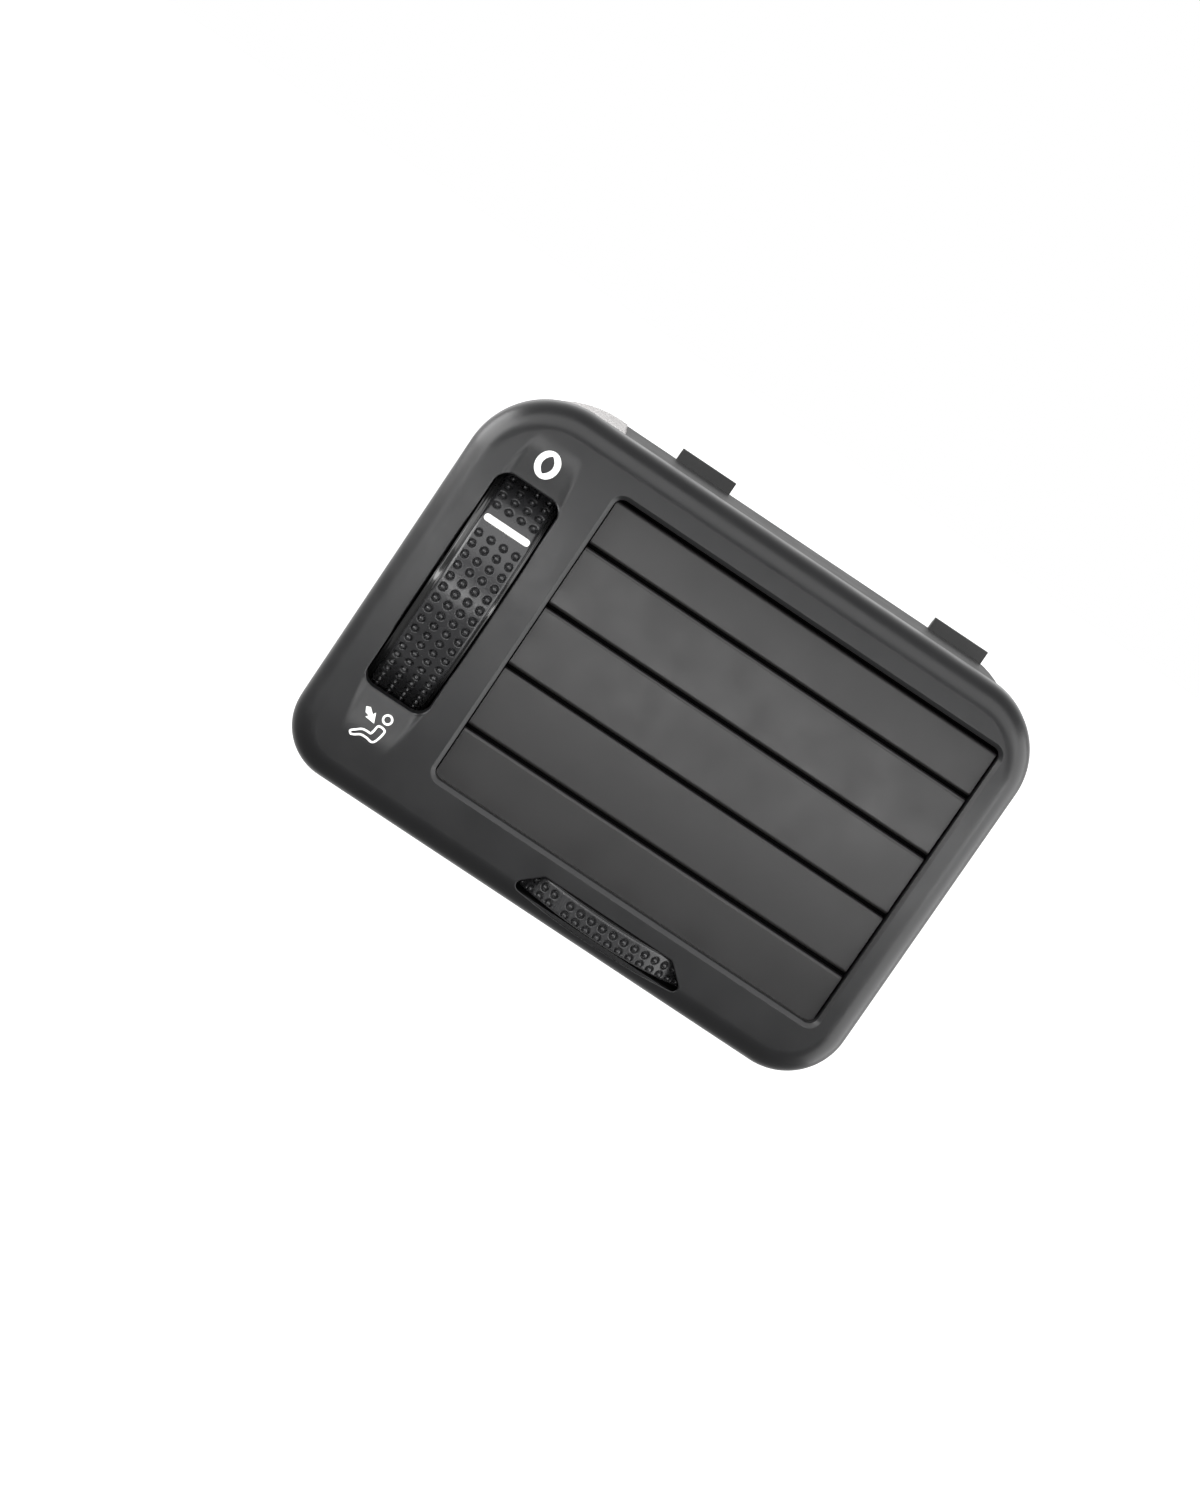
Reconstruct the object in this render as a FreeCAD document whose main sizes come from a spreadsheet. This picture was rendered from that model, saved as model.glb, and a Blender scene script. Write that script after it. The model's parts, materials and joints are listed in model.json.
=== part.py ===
import FreeCAD, Part
import math
import os

import Sketcher

# Dashboard air vent: a bezel with a louvred outlet, a thumbwheel at its left that turns the five
# slats, and a second thumbwheel under the outlet that swings the six vanes behind the slats.
# X runs to the right, Y back into the dashboard, Z up. The origin is the centre of the bezel's seat.

V = FreeCAD.Vector
document = FreeCAD.newDocument("air_vent")
sheet = document.addObject("Spreadsheet::Sheet", "Sizes")

# Driving dimensions in millimetres and degrees.
SIZES = {
    # Bezel
    "bezel_wide": 150,
    "bezel_high": 105,
    "face_deep": 11,
    "plate_thick": 3,
    "skirt_wall": 2.2,
    "rim_wall": 1,
    "rim_step": 3,
    "border_round": 7,
    "corner_top_left": 20.5,
    "corner_top_right": 18.5,
    "corner_low_left": 13.5,
    "corner_low_right": 16,
    # Outlet opening in the bezel
    "outlet_side_margin": 8.9,
    "outlet_top_margin": 11.6,
    "outlet_corner": 2.3,
    "outlet_round": 1,
    # Slot of the slat wheel, with the finger ramps over and under it
    "slot_wide": 16.9,
    "slot_high": 58.8,
    "slot_side": 17.75,
    "slot_corner": 3.5,
    "slot_block_wall": 3.2,
    "slot_block_thick": 2.6,
    "scoop_radius": 128,
    "scoop_ramp": 11,
    "scoop_floor": 13,
    "scoop_flare_angle": 35,
    # Slot of the vane wheel
    "low_slot_taper": 13.5,
    "low_slot_side_gap": 0.15,
    "low_slot_under": 0.5,
    "low_slot_over": 0.1,
    "low_slot_corner": 1.2,
    "low_skin": 0.8,
    "low_relief_gap": 0.9,
    # Rear shell
    "shell_gap": 0.15,
    "shell_wall": 1.8,
    "shell_deep": 36,
    "shell_corner_left": 26,
    "shell_corner_right": 21,
    "shell_bevel": 2.5,
    # Air channel, and the collar behind the shell
    "channel_wall": 1.5,
    "channel_side": 1.8,
    "channel_top": 1,
    "channel_floor": 3.2,
    "channel_corner": 0.5,
    "collar_deep": 22,
    # Bearing strips
    "strip_thick": 1.6,
    "strip_back": 16.4,
    "ledge_reach": 2.6,
    "ledge_thick": 1.4,
    # Slats
    "slat_hidden": 6.3,
    "slat_gap": 1,
    "slat_thick": 1.9,
    "slat_corner": 0.8,
    "slat_back": 5,
    "slat_axis_deep": 8.6,
    "slat_side_gap": 0.4,
    "slat_lip_gap": 1.2,
    "slat_lip_cover": 1,
    "slat_lap": 0.8,
    "slat_lap_thick": 0.9,
    "slat_lap_gap": 0.35,
    "slat_web": 1.4,
    "slat_spine": 1.8,
    "slat_pin": 1.5,
    "slat_ear": 7.2,
    # Crank pins, and the bars that join them
    "slat_crank": 6,
    "crank_pin": 1,
    "crank_boss": 2,
    "crank_slot_gap": 0.4,
    "slat_slot_start_angle": -105,
    "slat_slot_stop_angle": 5,
    "vane_slot_start_angle": 48,
    "vane_slot_stop_angle": 132,
    "link_thick": 1.6,
    "link_gap": 0.6,
    "link_clear": 1.65,
    # Running fit of every pin in its hole
    "run_gap": 0.05,
    # Slat wheel
    "flow_radius": 35.1,
    "flow_proud": 5.5,
    "flow_wide": 16,
    "flow_grip_thick": 2.6,
    "flow_shoulder_left": 1.6,
    "flow_shoulder_right": 0.8,
    "flow_rim": 5,
    "flow_web": 3,
    "flow_hub": 4,
    "flow_crank_post": 1.6,
    "flow_marker_angle": 31.5,
    "flow_marker_wide": 1.3,
    "flow_marker_proud": 0.35,
    # Axles and bearing arms
    "axle_radius": 2.2,
    "arm_thick": 1.6,
    "arm_boss": 4,
    "arm_lift": 1,
    "drum_gap": 1.4,
    # Vane wheel
    "swing_radius": 33,
    "swing_proud": 4.2,
    "swing_side": 0.35,
    "swing_shell_gap": 2.05,
    "swing_rim_high": 5.4,
    "swing_rim_thick": 4,
    "swing_grip_thick": 1.6,
    "swing_web": 2,
    "swing_hub": 5,
    "swing_sector_angle": 72,
    "swing_rest_angle": -20.6,
    "swing_floor_gap": 0.6,
    # Vanes
    "vane_side": 12.25,
    "vane_chord": 24,
    "vane_thick": 1.7,
    "vane_axis_deep": 35,
    "vane_low": 2.7,
    "vane_high": 1.9,
    "vane_pin": 1.2,
    "vane_spine": 1.6,
    "vane_round": 0.75,
    "vane_crank": 8,
    "vane_link_thick": 1.3,
    "vane_link_lift": 1.1,
    "vane_link_half": 2.3,
    # Clips
    "clip_wide": 15,
    "clip_high": 3.2,
    "clip_thick": 3,
    "clip_left_side": 50.8,
    "clip_right_side": 27.1,
    # Snap hooks of the bezel, and their windows in the shell
    "snap_wide": 4,
    "snap_deep": 6,
    "snap_long": 3.4,
    "snap_thick": 1.3,
    "snap_gap": 0.25,
    "snap_first_side": 30.4,
    "snap_second_side": 35.8,
    "snap_third_side": 26.2,
    # Foam seal and felt pad
    "seal_thick": 3,
    "seal_long": 6,
    "pad_thick": 0.7,
    "pad_front": 3,
    "pad_deep": 28,
    "pad_start": 10.6,
    "pad_stop": 29.4,
}

for row, (word, number) in enumerate(SIZES.items(), start=1):
    sheet.set("A%d" % row, word)
    sheet.set("B%d" % row, str(number))
    sheet.setAlias("B%d" % row, word)
document.recompute()

# Lengths and places worked out from the sheet, as expressions that the features are bound to.
HALF_WIDE = "(Sizes.bezel_wide / 2)"
HALF_HIGH = "(Sizes.bezel_high / 2)"
FRONT = "(0 - Sizes.face_deep)"
PLATE_BACK = "(Sizes.plate_thick - Sizes.face_deep)"
SHELL_INSET = "(Sizes.rim_wall + Sizes.shell_gap)"
SHELL_FRONT = "(0 - Sizes.rim_step)"
SHELL_TOP = "(%s - %s)" % (HALF_HIGH, SHELL_INSET)
SHELL_LOW = "(%s - %s)" % (SHELL_INSET, HALF_HIGH)
COLLAR_BACK = "(Sizes.shell_deep + Sizes.collar_deep)"
SLOT_ACROSS = "(Sizes.slot_side - %s)" % HALF_WIDE
FLOW_LEFT = "(%s - Sizes.flow_wide / 2)" % SLOT_ACROSS
FLOW_RIGHT = "(%s + Sizes.flow_wide / 2)" % SLOT_ACROSS
FLOW_AXIS = "(Sizes.flow_radius - Sizes.flow_proud - Sizes.face_deep)"
LINK_LEFT = "(%s + Sizes.drum_gap / 2 + Sizes.arm_thick + Sizes.link_clear)" % FLOW_RIGHT
LINK_RIGHT = "(%s + Sizes.link_thick)" % LINK_LEFT
CHANNEL_LEFT = "(%s + Sizes.link_gap + Sizes.channel_wall)" % LINK_RIGHT
OUTLET_LEFT = "(%s + Sizes.channel_side)" % CHANNEL_LEFT
OUTLET_RIGHT = "(%s - Sizes.outlet_side_margin)" % HALF_WIDE
CHANNEL_RIGHT = "(%s + Sizes.channel_side)" % OUTLET_RIGHT
OUTLET_MIDDLE = "((%s + %s) / 2)" % (OUTLET_LEFT, OUTLET_RIGHT)
SWING_LOW = "(%s + Sizes.shell_wall + Sizes.swing_shell_gap)" % SHELL_LOW
SWING_TOP = "(%s + Sizes.swing_rim_high)" % SWING_LOW
SWING_AXIS = "(Sizes.swing_radius - Sizes.swing_proud - Sizes.face_deep)"
SWING_ACROSS = "(%s - Sizes.swing_side)" % OUTLET_MIDDLE
CHANNEL_LOW = "(%s + Sizes.swing_floor_gap + Sizes.channel_wall)" % SWING_TOP
OUTLET_LOW = "(%s + Sizes.channel_floor)" % CHANNEL_LOW
OUTLET_TOP = "(%s - Sizes.outlet_top_margin)" % HALF_HIGH
CHANNEL_TOP = "(%s + Sizes.channel_top)" % OUTLET_TOP
OUTLET_LEVEL = "((%s + %s) / 2)" % (OUTLET_LOW, OUTLET_TOP)
SLAT_PITCH = "((%s - %s + Sizes.slat_hidden) / 5)" % (OUTLET_TOP, OUTLET_LOW)
SLAT_AXIS = "(Sizes.slat_axis_deep - Sizes.face_deep)"
SLAT_LEFT = "(%s + Sizes.slat_side_gap)" % OUTLET_LEFT
SLAT_RIGHT = "(%s - Sizes.slat_side_gap)" % OUTLET_RIGHT
VANE_AXIS = "(Sizes.vane_axis_deep - Sizes.face_deep)"
VANE_PITCH = "((%s - %s - 2 * Sizes.vane_side) / 5)" % (CHANNEL_RIGHT, CHANNEL_LEFT)
VANE_LOW = "(%s + Sizes.vane_low)" % CHANNEL_LOW
VANE_TOP = "(%s - Sizes.vane_high)" % CHANNEL_TOP
VANE_LINK_LOW = "(%s + Sizes.vane_link_lift)" % CHANNEL_LOW
GRIP_LEFT = "(Sizes.flow_shoulder_left - Sizes.flow_wide / 2)"
GRIP_RIGHT = "(Sizes.flow_wide / 2 - Sizes.flow_shoulder_right)"
SNAPS = {"First": "(Sizes.snap_first_side - %s)" % HALF_WIDE,
         "Second": "(Sizes.snap_second_side - %s)" % HALF_WIDE,
         "Third": "(%s - Sizes.snap_third_side)" % HALF_WIDE}
SCOOP_REACH = "(Sizes.slot_high / 2 + Sizes.scoop_ramp)"
SLAT_COUNT = 5
VANE_COUNT = 6


def value(text):
    return float(sheet.evalExpression(text))


def body(label):
    made = document.addObject("PartDesign::Body", label)
    made.Label = label
    return made


def sketch_on(owner, name, role, offset):
    """A sketch on one of the body's own origin planes, moved along the plane's normal."""
    drawn = owner.newObject("Sketcher::SketchObject", name)
    plane = next(item for item in owner.Origin.OriginFeatures if item.Role == role)
    drawn.AttachmentSupport = (plane, [""])
    drawn.MapMode = "FlatFace"
    drawn.setExpression("AttachmentOffset.Base.z", offset)
    return drawn


def bind(sketch, constraint, text):
    index = sketch.addConstraint(constraint)
    sketch.setExpression("Constraints[%d]" % index, text)


def place_point(sketch, geometry, point, across, up):
    bind(sketch, Sketcher.Constraint("DistanceX", -1, 1, geometry, point, value(across)), across)
    bind(sketch, Sketcher.Constraint("DistanceY", -1, 1, geometry, point, value(up)), up)


def circle(sketch, across, up, radius):
    centre = V(value(across), value(up), 0)
    index = sketch.addGeometry(Part.Circle(centre, V(0, 0, 1), value(radius)), False)
    bind(sketch, Sketcher.Constraint("Radius", index, value(radius)), radius)
    place_point(sketch, index, 3, across, up)


def outline(sketch, corners):
    """Closed outline through corners of (across, up, radius), where radius may be None."""
    spots = [V(value(across), value(up), 0) for across, up, radius in corners]
    ends = []
    for index, (across, up, radius) in enumerate(corners):
        before = (spots[index - 1] - spots[index]).normalize()
        after = (spots[(index + 1) % len(corners)] - spots[index]).normalize()
        if radius is None:
            ends.append((spots[index], spots[index]))
            continue
        half = before.getAngle(after) / 2
        reach = value(radius) / math.tan(half)
        ends.append((spots[index] + before * reach, spots[index] + after * reach))
    lines = []
    for index in range(len(corners)):
        start = ends[index][1]
        stop = ends[(index + 1) % len(corners)][0]
        lines.append(sketch.addGeometry(Part.LineSegment(start, stop), False))
    for index, (across, up, radius) in enumerate(corners):
        into, out = lines[index - 1], lines[index]
        if radius is None:
            sketch.addConstraint(Sketcher.Constraint("Coincident", into, 2, out, 1))
            place_point(sketch, out, 1, across, up)
            continue
        start, stop = ends[index]
        bisector = ((start + stop) / 2 - spots[index]).normalize()
        half = (start - spots[index]).getAngle(stop - spots[index]) / 2
        centre = spots[index] + bisector * (value(radius) / math.sin(half))
        middle = centre - bisector * value(radius)
        arc = sketch.addGeometry(Part.Arc(start, middle, stop), False)
        curve = sketch.Geometry[arc]
        first = 1 if curve.StartPoint.distanceToPoint(start) < 1e-6 else 2
        sketch.addConstraint(Sketcher.Constraint("Tangent", into, 2, arc, first))
        sketch.addConstraint(Sketcher.Constraint("Tangent", arc, 3 - first, out, 1))
        bind(sketch, Sketcher.Constraint("Radius", arc, value(radius)), radius)
        mark = sketch.addGeometry(Part.Point(spots[index]), True)
        sketch.addConstraint(Sketcher.Constraint("PointOnObject", mark, 1, into))
        sketch.addConstraint(Sketcher.Constraint("PointOnObject", mark, 1, out))
        place_point(sketch, mark, 1, across, up)


def box(sketch, left, right, low, top, radii=None):
    """A rectangle; radii are those of the low left, low right, top right and top left corners."""
    radii = radii or [None] * 4
    corners = [(left, low), (right, low), (right, top), (left, top)]
    outline(sketch, [(across, up, radius) for (across, up), radius in zip(corners, radii)])


def centred_box(sketch, across, up, half_wide, half_high, radius=None):
    """A rectangle about a centre, with four like corners."""
    box(sketch, "%s - %s" % (across, half_wide), "%s + %s" % (across, half_wide),
        "%s - %s" % (up, half_high), "%s + %s" % (up, half_high), [radius] * 4)


def prism(owner, name, role, low, high, draw, cut=False):
    """Pads or pockets a sketch between two places along the normal axis of an origin plane."""
    starts_low = (role == "XZ_Plane") == cut
    offset = low if starts_low else high
    if role == "XZ_Plane":
        offset = "0 - (%s)" % offset
    sketch = sketch_on(owner, name + "Sketch", role, offset)
    draw(sketch)
    feature = owner.newObject("PartDesign::Pocket" if cut else "PartDesign::Pad", name)
    feature.Profile = sketch
    feature.setExpression("Length", "%s - (%s)" % (high, low))
    return feature


def pad(owner, name, role, low, high, draw):
    return prism(owner, name, role, low, high, draw)


def pocket(owner, name, role, low, high, draw):
    return prism(owner, name, role, low, high, draw, cut=True)


def tip_edges(owner, wanted):
    """The body's last feature, with the names of its edges whose bounding box passes the test."""
    document.recompute()
    base = owner.Tip
    return base, ["Edge%d" % (index + 1) for index, edge in enumerate(base.Shape.Edges)
                  if wanted(edge.BoundBox)]


def round_edges(owner, name, radius, wanted):
    edges = tip_edges(owner, wanted)
    feature = owner.newObject("PartDesign::Fillet", name)
    feature.Base = edges
    feature.setExpression("Radius", radius)


def bevel_edges(owner, name, size, wanted):
    edges = tip_edges(owner, wanted)
    feature = owner.newObject("PartDesign::Chamfer", name)
    feature.Base = edges
    feature.setExpression("Size", size)


def arc_slot(owner, name, role, low, high, centre, radius, start, stop):
    """Pockets an arc slot for a crank pin, between two angles about the centre."""
    middle = V(value(centre[0]), value(centre[1]), 0)
    half = "(Sizes.crank_pin + Sizes.crank_slot_gap)"
    radii = ["%s - %s" % (radius, half), "%s + %s" % (radius, half)]
    turns = [math.radians(value(turn)) for turn in (start, "(%s + %s) / 2" % (start, stop), stop)]

    def bent_slot(sketch):
        spots = [[middle + V(math.cos(turn), math.sin(turn), 0) * value(reach) for turn in turns]
                 for reach in radii]
        arcs = [sketch.addGeometry(Part.Arc(*spots[side]), False) for side in (0, 1)]
        ends = [sketch.addGeometry(Part.LineSegment(spots[0][end], spots[1][end]), False)
                for end in (0, 2)]
        for side, reach in enumerate(radii):
            sketch.addConstraint(Sketcher.Constraint("Coincident", ends[0], side + 1, arcs[side], 1))
            sketch.addConstraint(Sketcher.Constraint("Coincident", ends[1], side + 1, arcs[side], 2))
            bind(sketch, Sketcher.Constraint("Radius", arcs[side], value(reach)), reach)
            place_point(sketch, arcs[side], 3, *centre)
        for end, turn, angle in zip(ends, (turns[0], turns[2]), (start, stop)):
            sketch.addConstraint(Sketcher.Constraint("PointOnObject", arcs[0], 3, end))
            bind(sketch, Sketcher.Constraint("Angle", end, turn), angle)

    return pocket(owner, name, role, low, high, bent_slot)


def near(one, other):
    return abs(one - other) < 0.01


def inset_box(sketch, inset, radii=None):
    """The bezel's outline moved inwards, with its four corner radii less the inset."""
    names = ["corner_low_left", "corner_low_right", "corner_top_right", "corner_top_left"]
    radii = radii or ["Sizes.%s - %s" % (name, inset) for name in names]
    box(sketch, "%s - %s" % (inset, HALF_WIDE), "%s - %s" % (HALF_WIDE, inset),
        "%s - %s" % (inset, HALF_HIGH), "%s - %s" % (HALF_HIGH, inset), radii)


def make_bezel():
    """One moulding: face plate with a softly rounded border, and a skirt back to the seat."""
    bezel = body("bezel")
    pad(bezel, "Blank", "XZ_Plane", FRONT, "0", lambda s: inset_box(s, "0"))
    front = value(FRONT)
    round_edges(bezel, "Border", "Sizes.border_round",
                lambda b: near(b.YMin, front) and near(b.YMax, front))
    pocket(bezel, "Cavity", "XZ_Plane", PLATE_BACK, "0", lambda s: inset_box(s, "Sizes.skirt_wall"))
    pocket(bezel, "RimStep", "XZ_Plane", SHELL_FRONT, "0", lambda s: inset_box(s, "Sizes.rim_wall"))
    reach = "(%s + Sizes.slot_block_wall)" % SCOOP_REACH
    half = "(Sizes.slot_wide / 2 + Sizes.slot_block_wall)"
    pad(bezel, "SlotBlock", "XZ_Plane", PLATE_BACK, "%s + Sizes.slot_block_thick" % PLATE_BACK,
        lambda s: centred_box(s, SLOT_ACROSS, OUTLET_LEVEL, half, reach, "Sizes.slot_corner"))
    cut_scoops(bezel)
    pocket(bezel, "WheelSlot", "XZ_Plane", FRONT, "0",
           lambda s: centred_box(s, SLOT_ACROSS, OUTLET_LEVEL, "Sizes.slot_wide / 2",
                                 "Sizes.slot_high / 2", "Sizes.slot_corner"))
    cut_low_slot(bezel)
    pocket(bezel, "Outlet", "XZ_Plane", FRONT, "0",
           lambda s: box(s, OUTLET_LEFT, OUTLET_RIGHT, OUTLET_LOW, OUTLET_TOP,
                         ["Sizes.outlet_corner"] * 4))
    left, right = value(OUTLET_LEFT) - 0.1, value(OUTLET_RIGHT) + 0.1
    low, top = value(OUTLET_LOW) - 0.1, value(OUTLET_TOP) + 0.1
    round_edges(bezel, "OutletRound", "Sizes.outlet_round",
                lambda b: near(b.YMin, front) and near(b.YMax, front) and b.XMin > left
                and b.XMax < right and b.ZMin > low and b.ZMax < top)
    for name, centre in SNAPS.items():
        add_snap(bezel, name, centre)
    return bezel


def add_snap(bezel, name, centre):
    """A tongue under the shell's top wall, with a sloped hook that stands in its window."""
    top = "(%s - Sizes.shell_wall - Sizes.snap_gap)" % SHELL_TOP
    low = "%s - Sizes.snap_thick" % top
    back = "Sizes.snap_deep + Sizes.snap_long - Sizes.snap_gap"
    hook = "%s + Sizes.snap_thick" % top
    corners = [("%s - Sizes.plate_thick / 2" % PLATE_BACK, low, None), (back, low, None),
               (back, top, None), ("Sizes.snap_deep + Sizes.snap_gap + Sizes.snap_thick", hook, None),
               ("Sizes.snap_deep + Sizes.snap_gap", hook, None),
               ("Sizes.snap_deep + Sizes.snap_gap", top, None),
               ("%s - Sizes.plate_thick / 2" % PLATE_BACK, top, None)]
    pad(bezel, "Snap" + name, "YZ_Plane", "%s - Sizes.snap_wide / 2" % centre,
        "%s + Sizes.snap_wide / 2" % centre, lambda s: outline(s, corners))


def cut_scoops(bezel):
    """Finger ramps over and under the wheel: a flared ring turned about an axis in front."""
    chord = "sqrt(Sizes.scoop_radius ^ 2 - %s ^ 2)" % SCOOP_REACH
    sketch = sketch_on(bezel, "ScoopSketch", "XY_Plane", OUTLET_LEVEL)
    sketch.setExpression("AttachmentOffset.Base.y", "%s - %s" % (FRONT, chord))
    half = "Sizes.scoop_floor / 2"
    deep = "(%s - Sizes.border_round)" % chord
    wide = "(%s + (Sizes.scoop_radius - %s) * tan(Sizes.scoop_flare_angle))" % (half, deep)
    outline(sketch, [("%s - %s" % (SLOT_ACROSS, half), "Sizes.scoop_radius", None),
                     ("%s - %s" % (SLOT_ACROSS, wide), deep, None),
                     ("%s + %s" % (SLOT_ACROSS, wide), deep, None),
                     ("%s + %s" % (SLOT_ACROSS, half), "Sizes.scoop_radius", None)])
    groove = bezel.newObject("PartDesign::Groove", "Scoops")
    groove.Profile = sketch
    groove.ReferenceAxis = (sketch, ["H_Axis"])
    groove.Angle = 360


def wheel_chord(plane):
    """Half the width of the vane wheel where it passes through an upright plane."""
    return "sqrt(Sizes.swing_radius ^ 2 - (%s - (%s)) ^ 2)" % (SWING_AXIS, plane)


def cut_low_slot(bezel):
    """The vane wheel's slot, wider below than above, in a skin that is thin round the wheel."""
    skin_back = "%s + Sizes.low_skin" % FRONT
    low = "%s - Sizes.low_slot_under" % SWING_LOW
    top = "%s + Sizes.low_slot_over" % SWING_TOP
    short = "(%s + Sizes.low_slot_side_gap)" % wheel_chord(skin_back)
    half = "(%s + Sizes.low_slot_taper / 2)" % short
    corner = "Sizes.low_slot_corner"
    corners = [("%s - %s" % (SWING_ACROSS, half), low, corner),
               ("%s + %s" % (SWING_ACROSS, half), low, corner),
               ("%s + %s" % (SWING_ACROSS, short), top, corner),
               ("%s - %s" % (SWING_ACROSS, short), top, corner)]
    pocket(bezel, "LowSlot", "XZ_Plane", FRONT, "0", lambda s: outline(s, corners))
    relief = "(%s + Sizes.low_relief_gap)" % wheel_chord(PLATE_BACK)
    pocket(bezel, "LowRelief", "XZ_Plane", skin_back, "0",
           lambda s: box(s, "%s - %s" % (SWING_ACROSS, relief), "%s + %s" % (SWING_ACROSS, relief),
                         low, top))


def make_housing():
    """The rear moulding: shell, air channel with collar, wheel drum, bearing arms and clips."""
    housing = body("duct_housing")
    radii = ["Sizes.corner_low_left - %s" % SHELL_INSET, "Sizes.corner_low_right - %s" % SHELL_INSET,
             "Sizes.shell_corner_right", "Sizes.shell_corner_left"]
    inner_radii = ["%s - Sizes.shell_wall" % radius for radius in radii]
    inner_inset = "(%s + Sizes.shell_wall)" % SHELL_INSET
    pad(housing, "Shell", "XZ_Plane", SHELL_FRONT, "Sizes.shell_deep",
        lambda s: inset_box(s, SHELL_INSET, radii))
    back = value("Sizes.shell_deep")
    bevel_edges(housing, "ShellBevel", "Sizes.shell_bevel",
                lambda b: near(b.YMin, back) and near(b.YMax, back))
    pocket(housing, "ShellCavity", "XZ_Plane", SHELL_FRONT, "Sizes.shell_deep - Sizes.shell_wall",
           lambda s: inset_box(s, inner_inset, inner_radii))
    wall = "Sizes.channel_wall"
    outer = ["Sizes.channel_corner + Sizes.channel_wall"] * 4
    pad(housing, "Channel", "XZ_Plane", PLATE_BACK, COLLAR_BACK,
        lambda s: box(s, "%s - %s" % (CHANNEL_LEFT, wall), "%s + %s" % (CHANNEL_RIGHT, wall),
                      "%s - %s" % (CHANNEL_LOW, wall), "%s + %s" % (CHANNEL_TOP, wall), outer))
    add_wheel_drum(housing)
    pocket(housing, "ChannelBore", "XZ_Plane", PLATE_BACK, COLLAR_BACK,
           lambda s: box(s, CHANNEL_LEFT, CHANNEL_RIGHT, CHANNEL_LOW, CHANNEL_TOP,
                         ["Sizes.channel_corner"] * 4))
    add_flow_bearing(housing)
    add_swing_bearing(housing)
    cut_slat_window(housing)
    cut_vane_holes(housing)
    add_stop_rib(housing)
    for name, centre in SNAPS.items():
        half = "(Sizes.snap_wide / 2 + Sizes.snap_gap)"
        pocket(housing, "Window" + name, "XY_Plane", "%s - Sizes.shell_wall" % SHELL_TOP, SHELL_TOP,
               lambda s: box(s, "%s - %s" % (centre, half), "%s + %s" % (centre, half),
                             "Sizes.snap_deep", "Sizes.snap_deep + Sizes.snap_long"))
    add_clip(housing, "ClipLeft", "(Sizes.clip_left_side - %s)" % HALF_WIDE)
    add_clip(housing, "ClipRight", "(%s - Sizes.clip_right_side)" % HALF_WIDE)
    return housing


def add_wheel_drum(housing):
    """A drum through the rear wall that encloses the back of the slat wheel."""
    inner = "(Sizes.flow_radius + Sizes.drum_gap)"
    outer = "(%s + Sizes.channel_wall)" % inner
    gap = "Sizes.drum_gap"
    left = "%s - %s - Sizes.arm_thick" % (FLOW_LEFT, gap)
    right = "%s + %s + Sizes.arm_thick" % (FLOW_RIGHT, gap)
    wall_front = "(Sizes.shell_deep - Sizes.shell_wall)"

    def half_moon(sketch):
        centre = V(value(FLOW_AXIS), value(OUTLET_LEVEL), 0)
        radius, chord = value(outer), value(wall_front)
        rise = math.sqrt(radius ** 2 - (chord - centre.x) ** 2)
        top, low = V(chord, centre.y + rise, 0), V(chord, centre.y - rise, 0)
        back = centre + V(radius, 0, 0)
        arc = sketch.addGeometry(Part.Arc(low, back, top), False)
        line = sketch.addGeometry(Part.LineSegment(top, low), False)
        sketch.addConstraint(Sketcher.Constraint("Coincident", arc, 2, line, 1))
        sketch.addConstraint(Sketcher.Constraint("Coincident", line, 2, arc, 1))
        sketch.addConstraint(Sketcher.Constraint("Vertical", line))
        bind(sketch, Sketcher.Constraint("Radius", arc, radius), outer)
        place_point(sketch, arc, 3, FLOW_AXIS, OUTLET_LEVEL)
        bind(sketch, Sketcher.Constraint("DistanceX", -1, 1, line, 1, chord), wall_front)

    pad(housing, "Drum", "YZ_Plane", left, right, half_moon)
    pocket(housing, "DrumCavity", "YZ_Plane", "%s - %s" % (FLOW_LEFT, gap),
           "%s + %s" % (FLOW_RIGHT, gap),
           lambda s: circle(s, FLOW_AXIS, OUTLET_LEVEL, inner))


def add_flow_bearing(housing):
    """Two arms from the rear wall to the slat wheel's axle, clear of the crank pin below it."""
    gap = "Sizes.drum_gap / 2"
    wall_front = "Sizes.shell_deep - Sizes.shell_wall / 2"
    sides = {"Left": ("%s - %s - Sizes.arm_thick" % (FLOW_LEFT, gap), "%s - %s" % (FLOW_LEFT, gap)),
             "Right": ("%s + %s" % (FLOW_RIGHT, gap), "%s + %s + Sizes.arm_thick" % (FLOW_RIGHT, gap))}
    for side, (low, high) in sides.items():
        pad(housing, "Arm" + side, "YZ_Plane", low, high,
            lambda s: box(s, FLOW_AXIS, wall_front, "%s + Sizes.arm_lift" % OUTLET_LEVEL,
                          "%s + Sizes.arm_lift + 2 * Sizes.arm_boss" % OUTLET_LEVEL))
        pad(housing, "ArmBoss" + side, "YZ_Plane", low, high,
            lambda s: circle(s, FLOW_AXIS, OUTLET_LEVEL, "Sizes.arm_boss"))
        pocket(housing, "ArmBore" + side, "YZ_Plane", low, high,
               lambda s: circle(s, FLOW_AXIS, OUTLET_LEVEL, "Sizes.axle_radius"))


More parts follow.
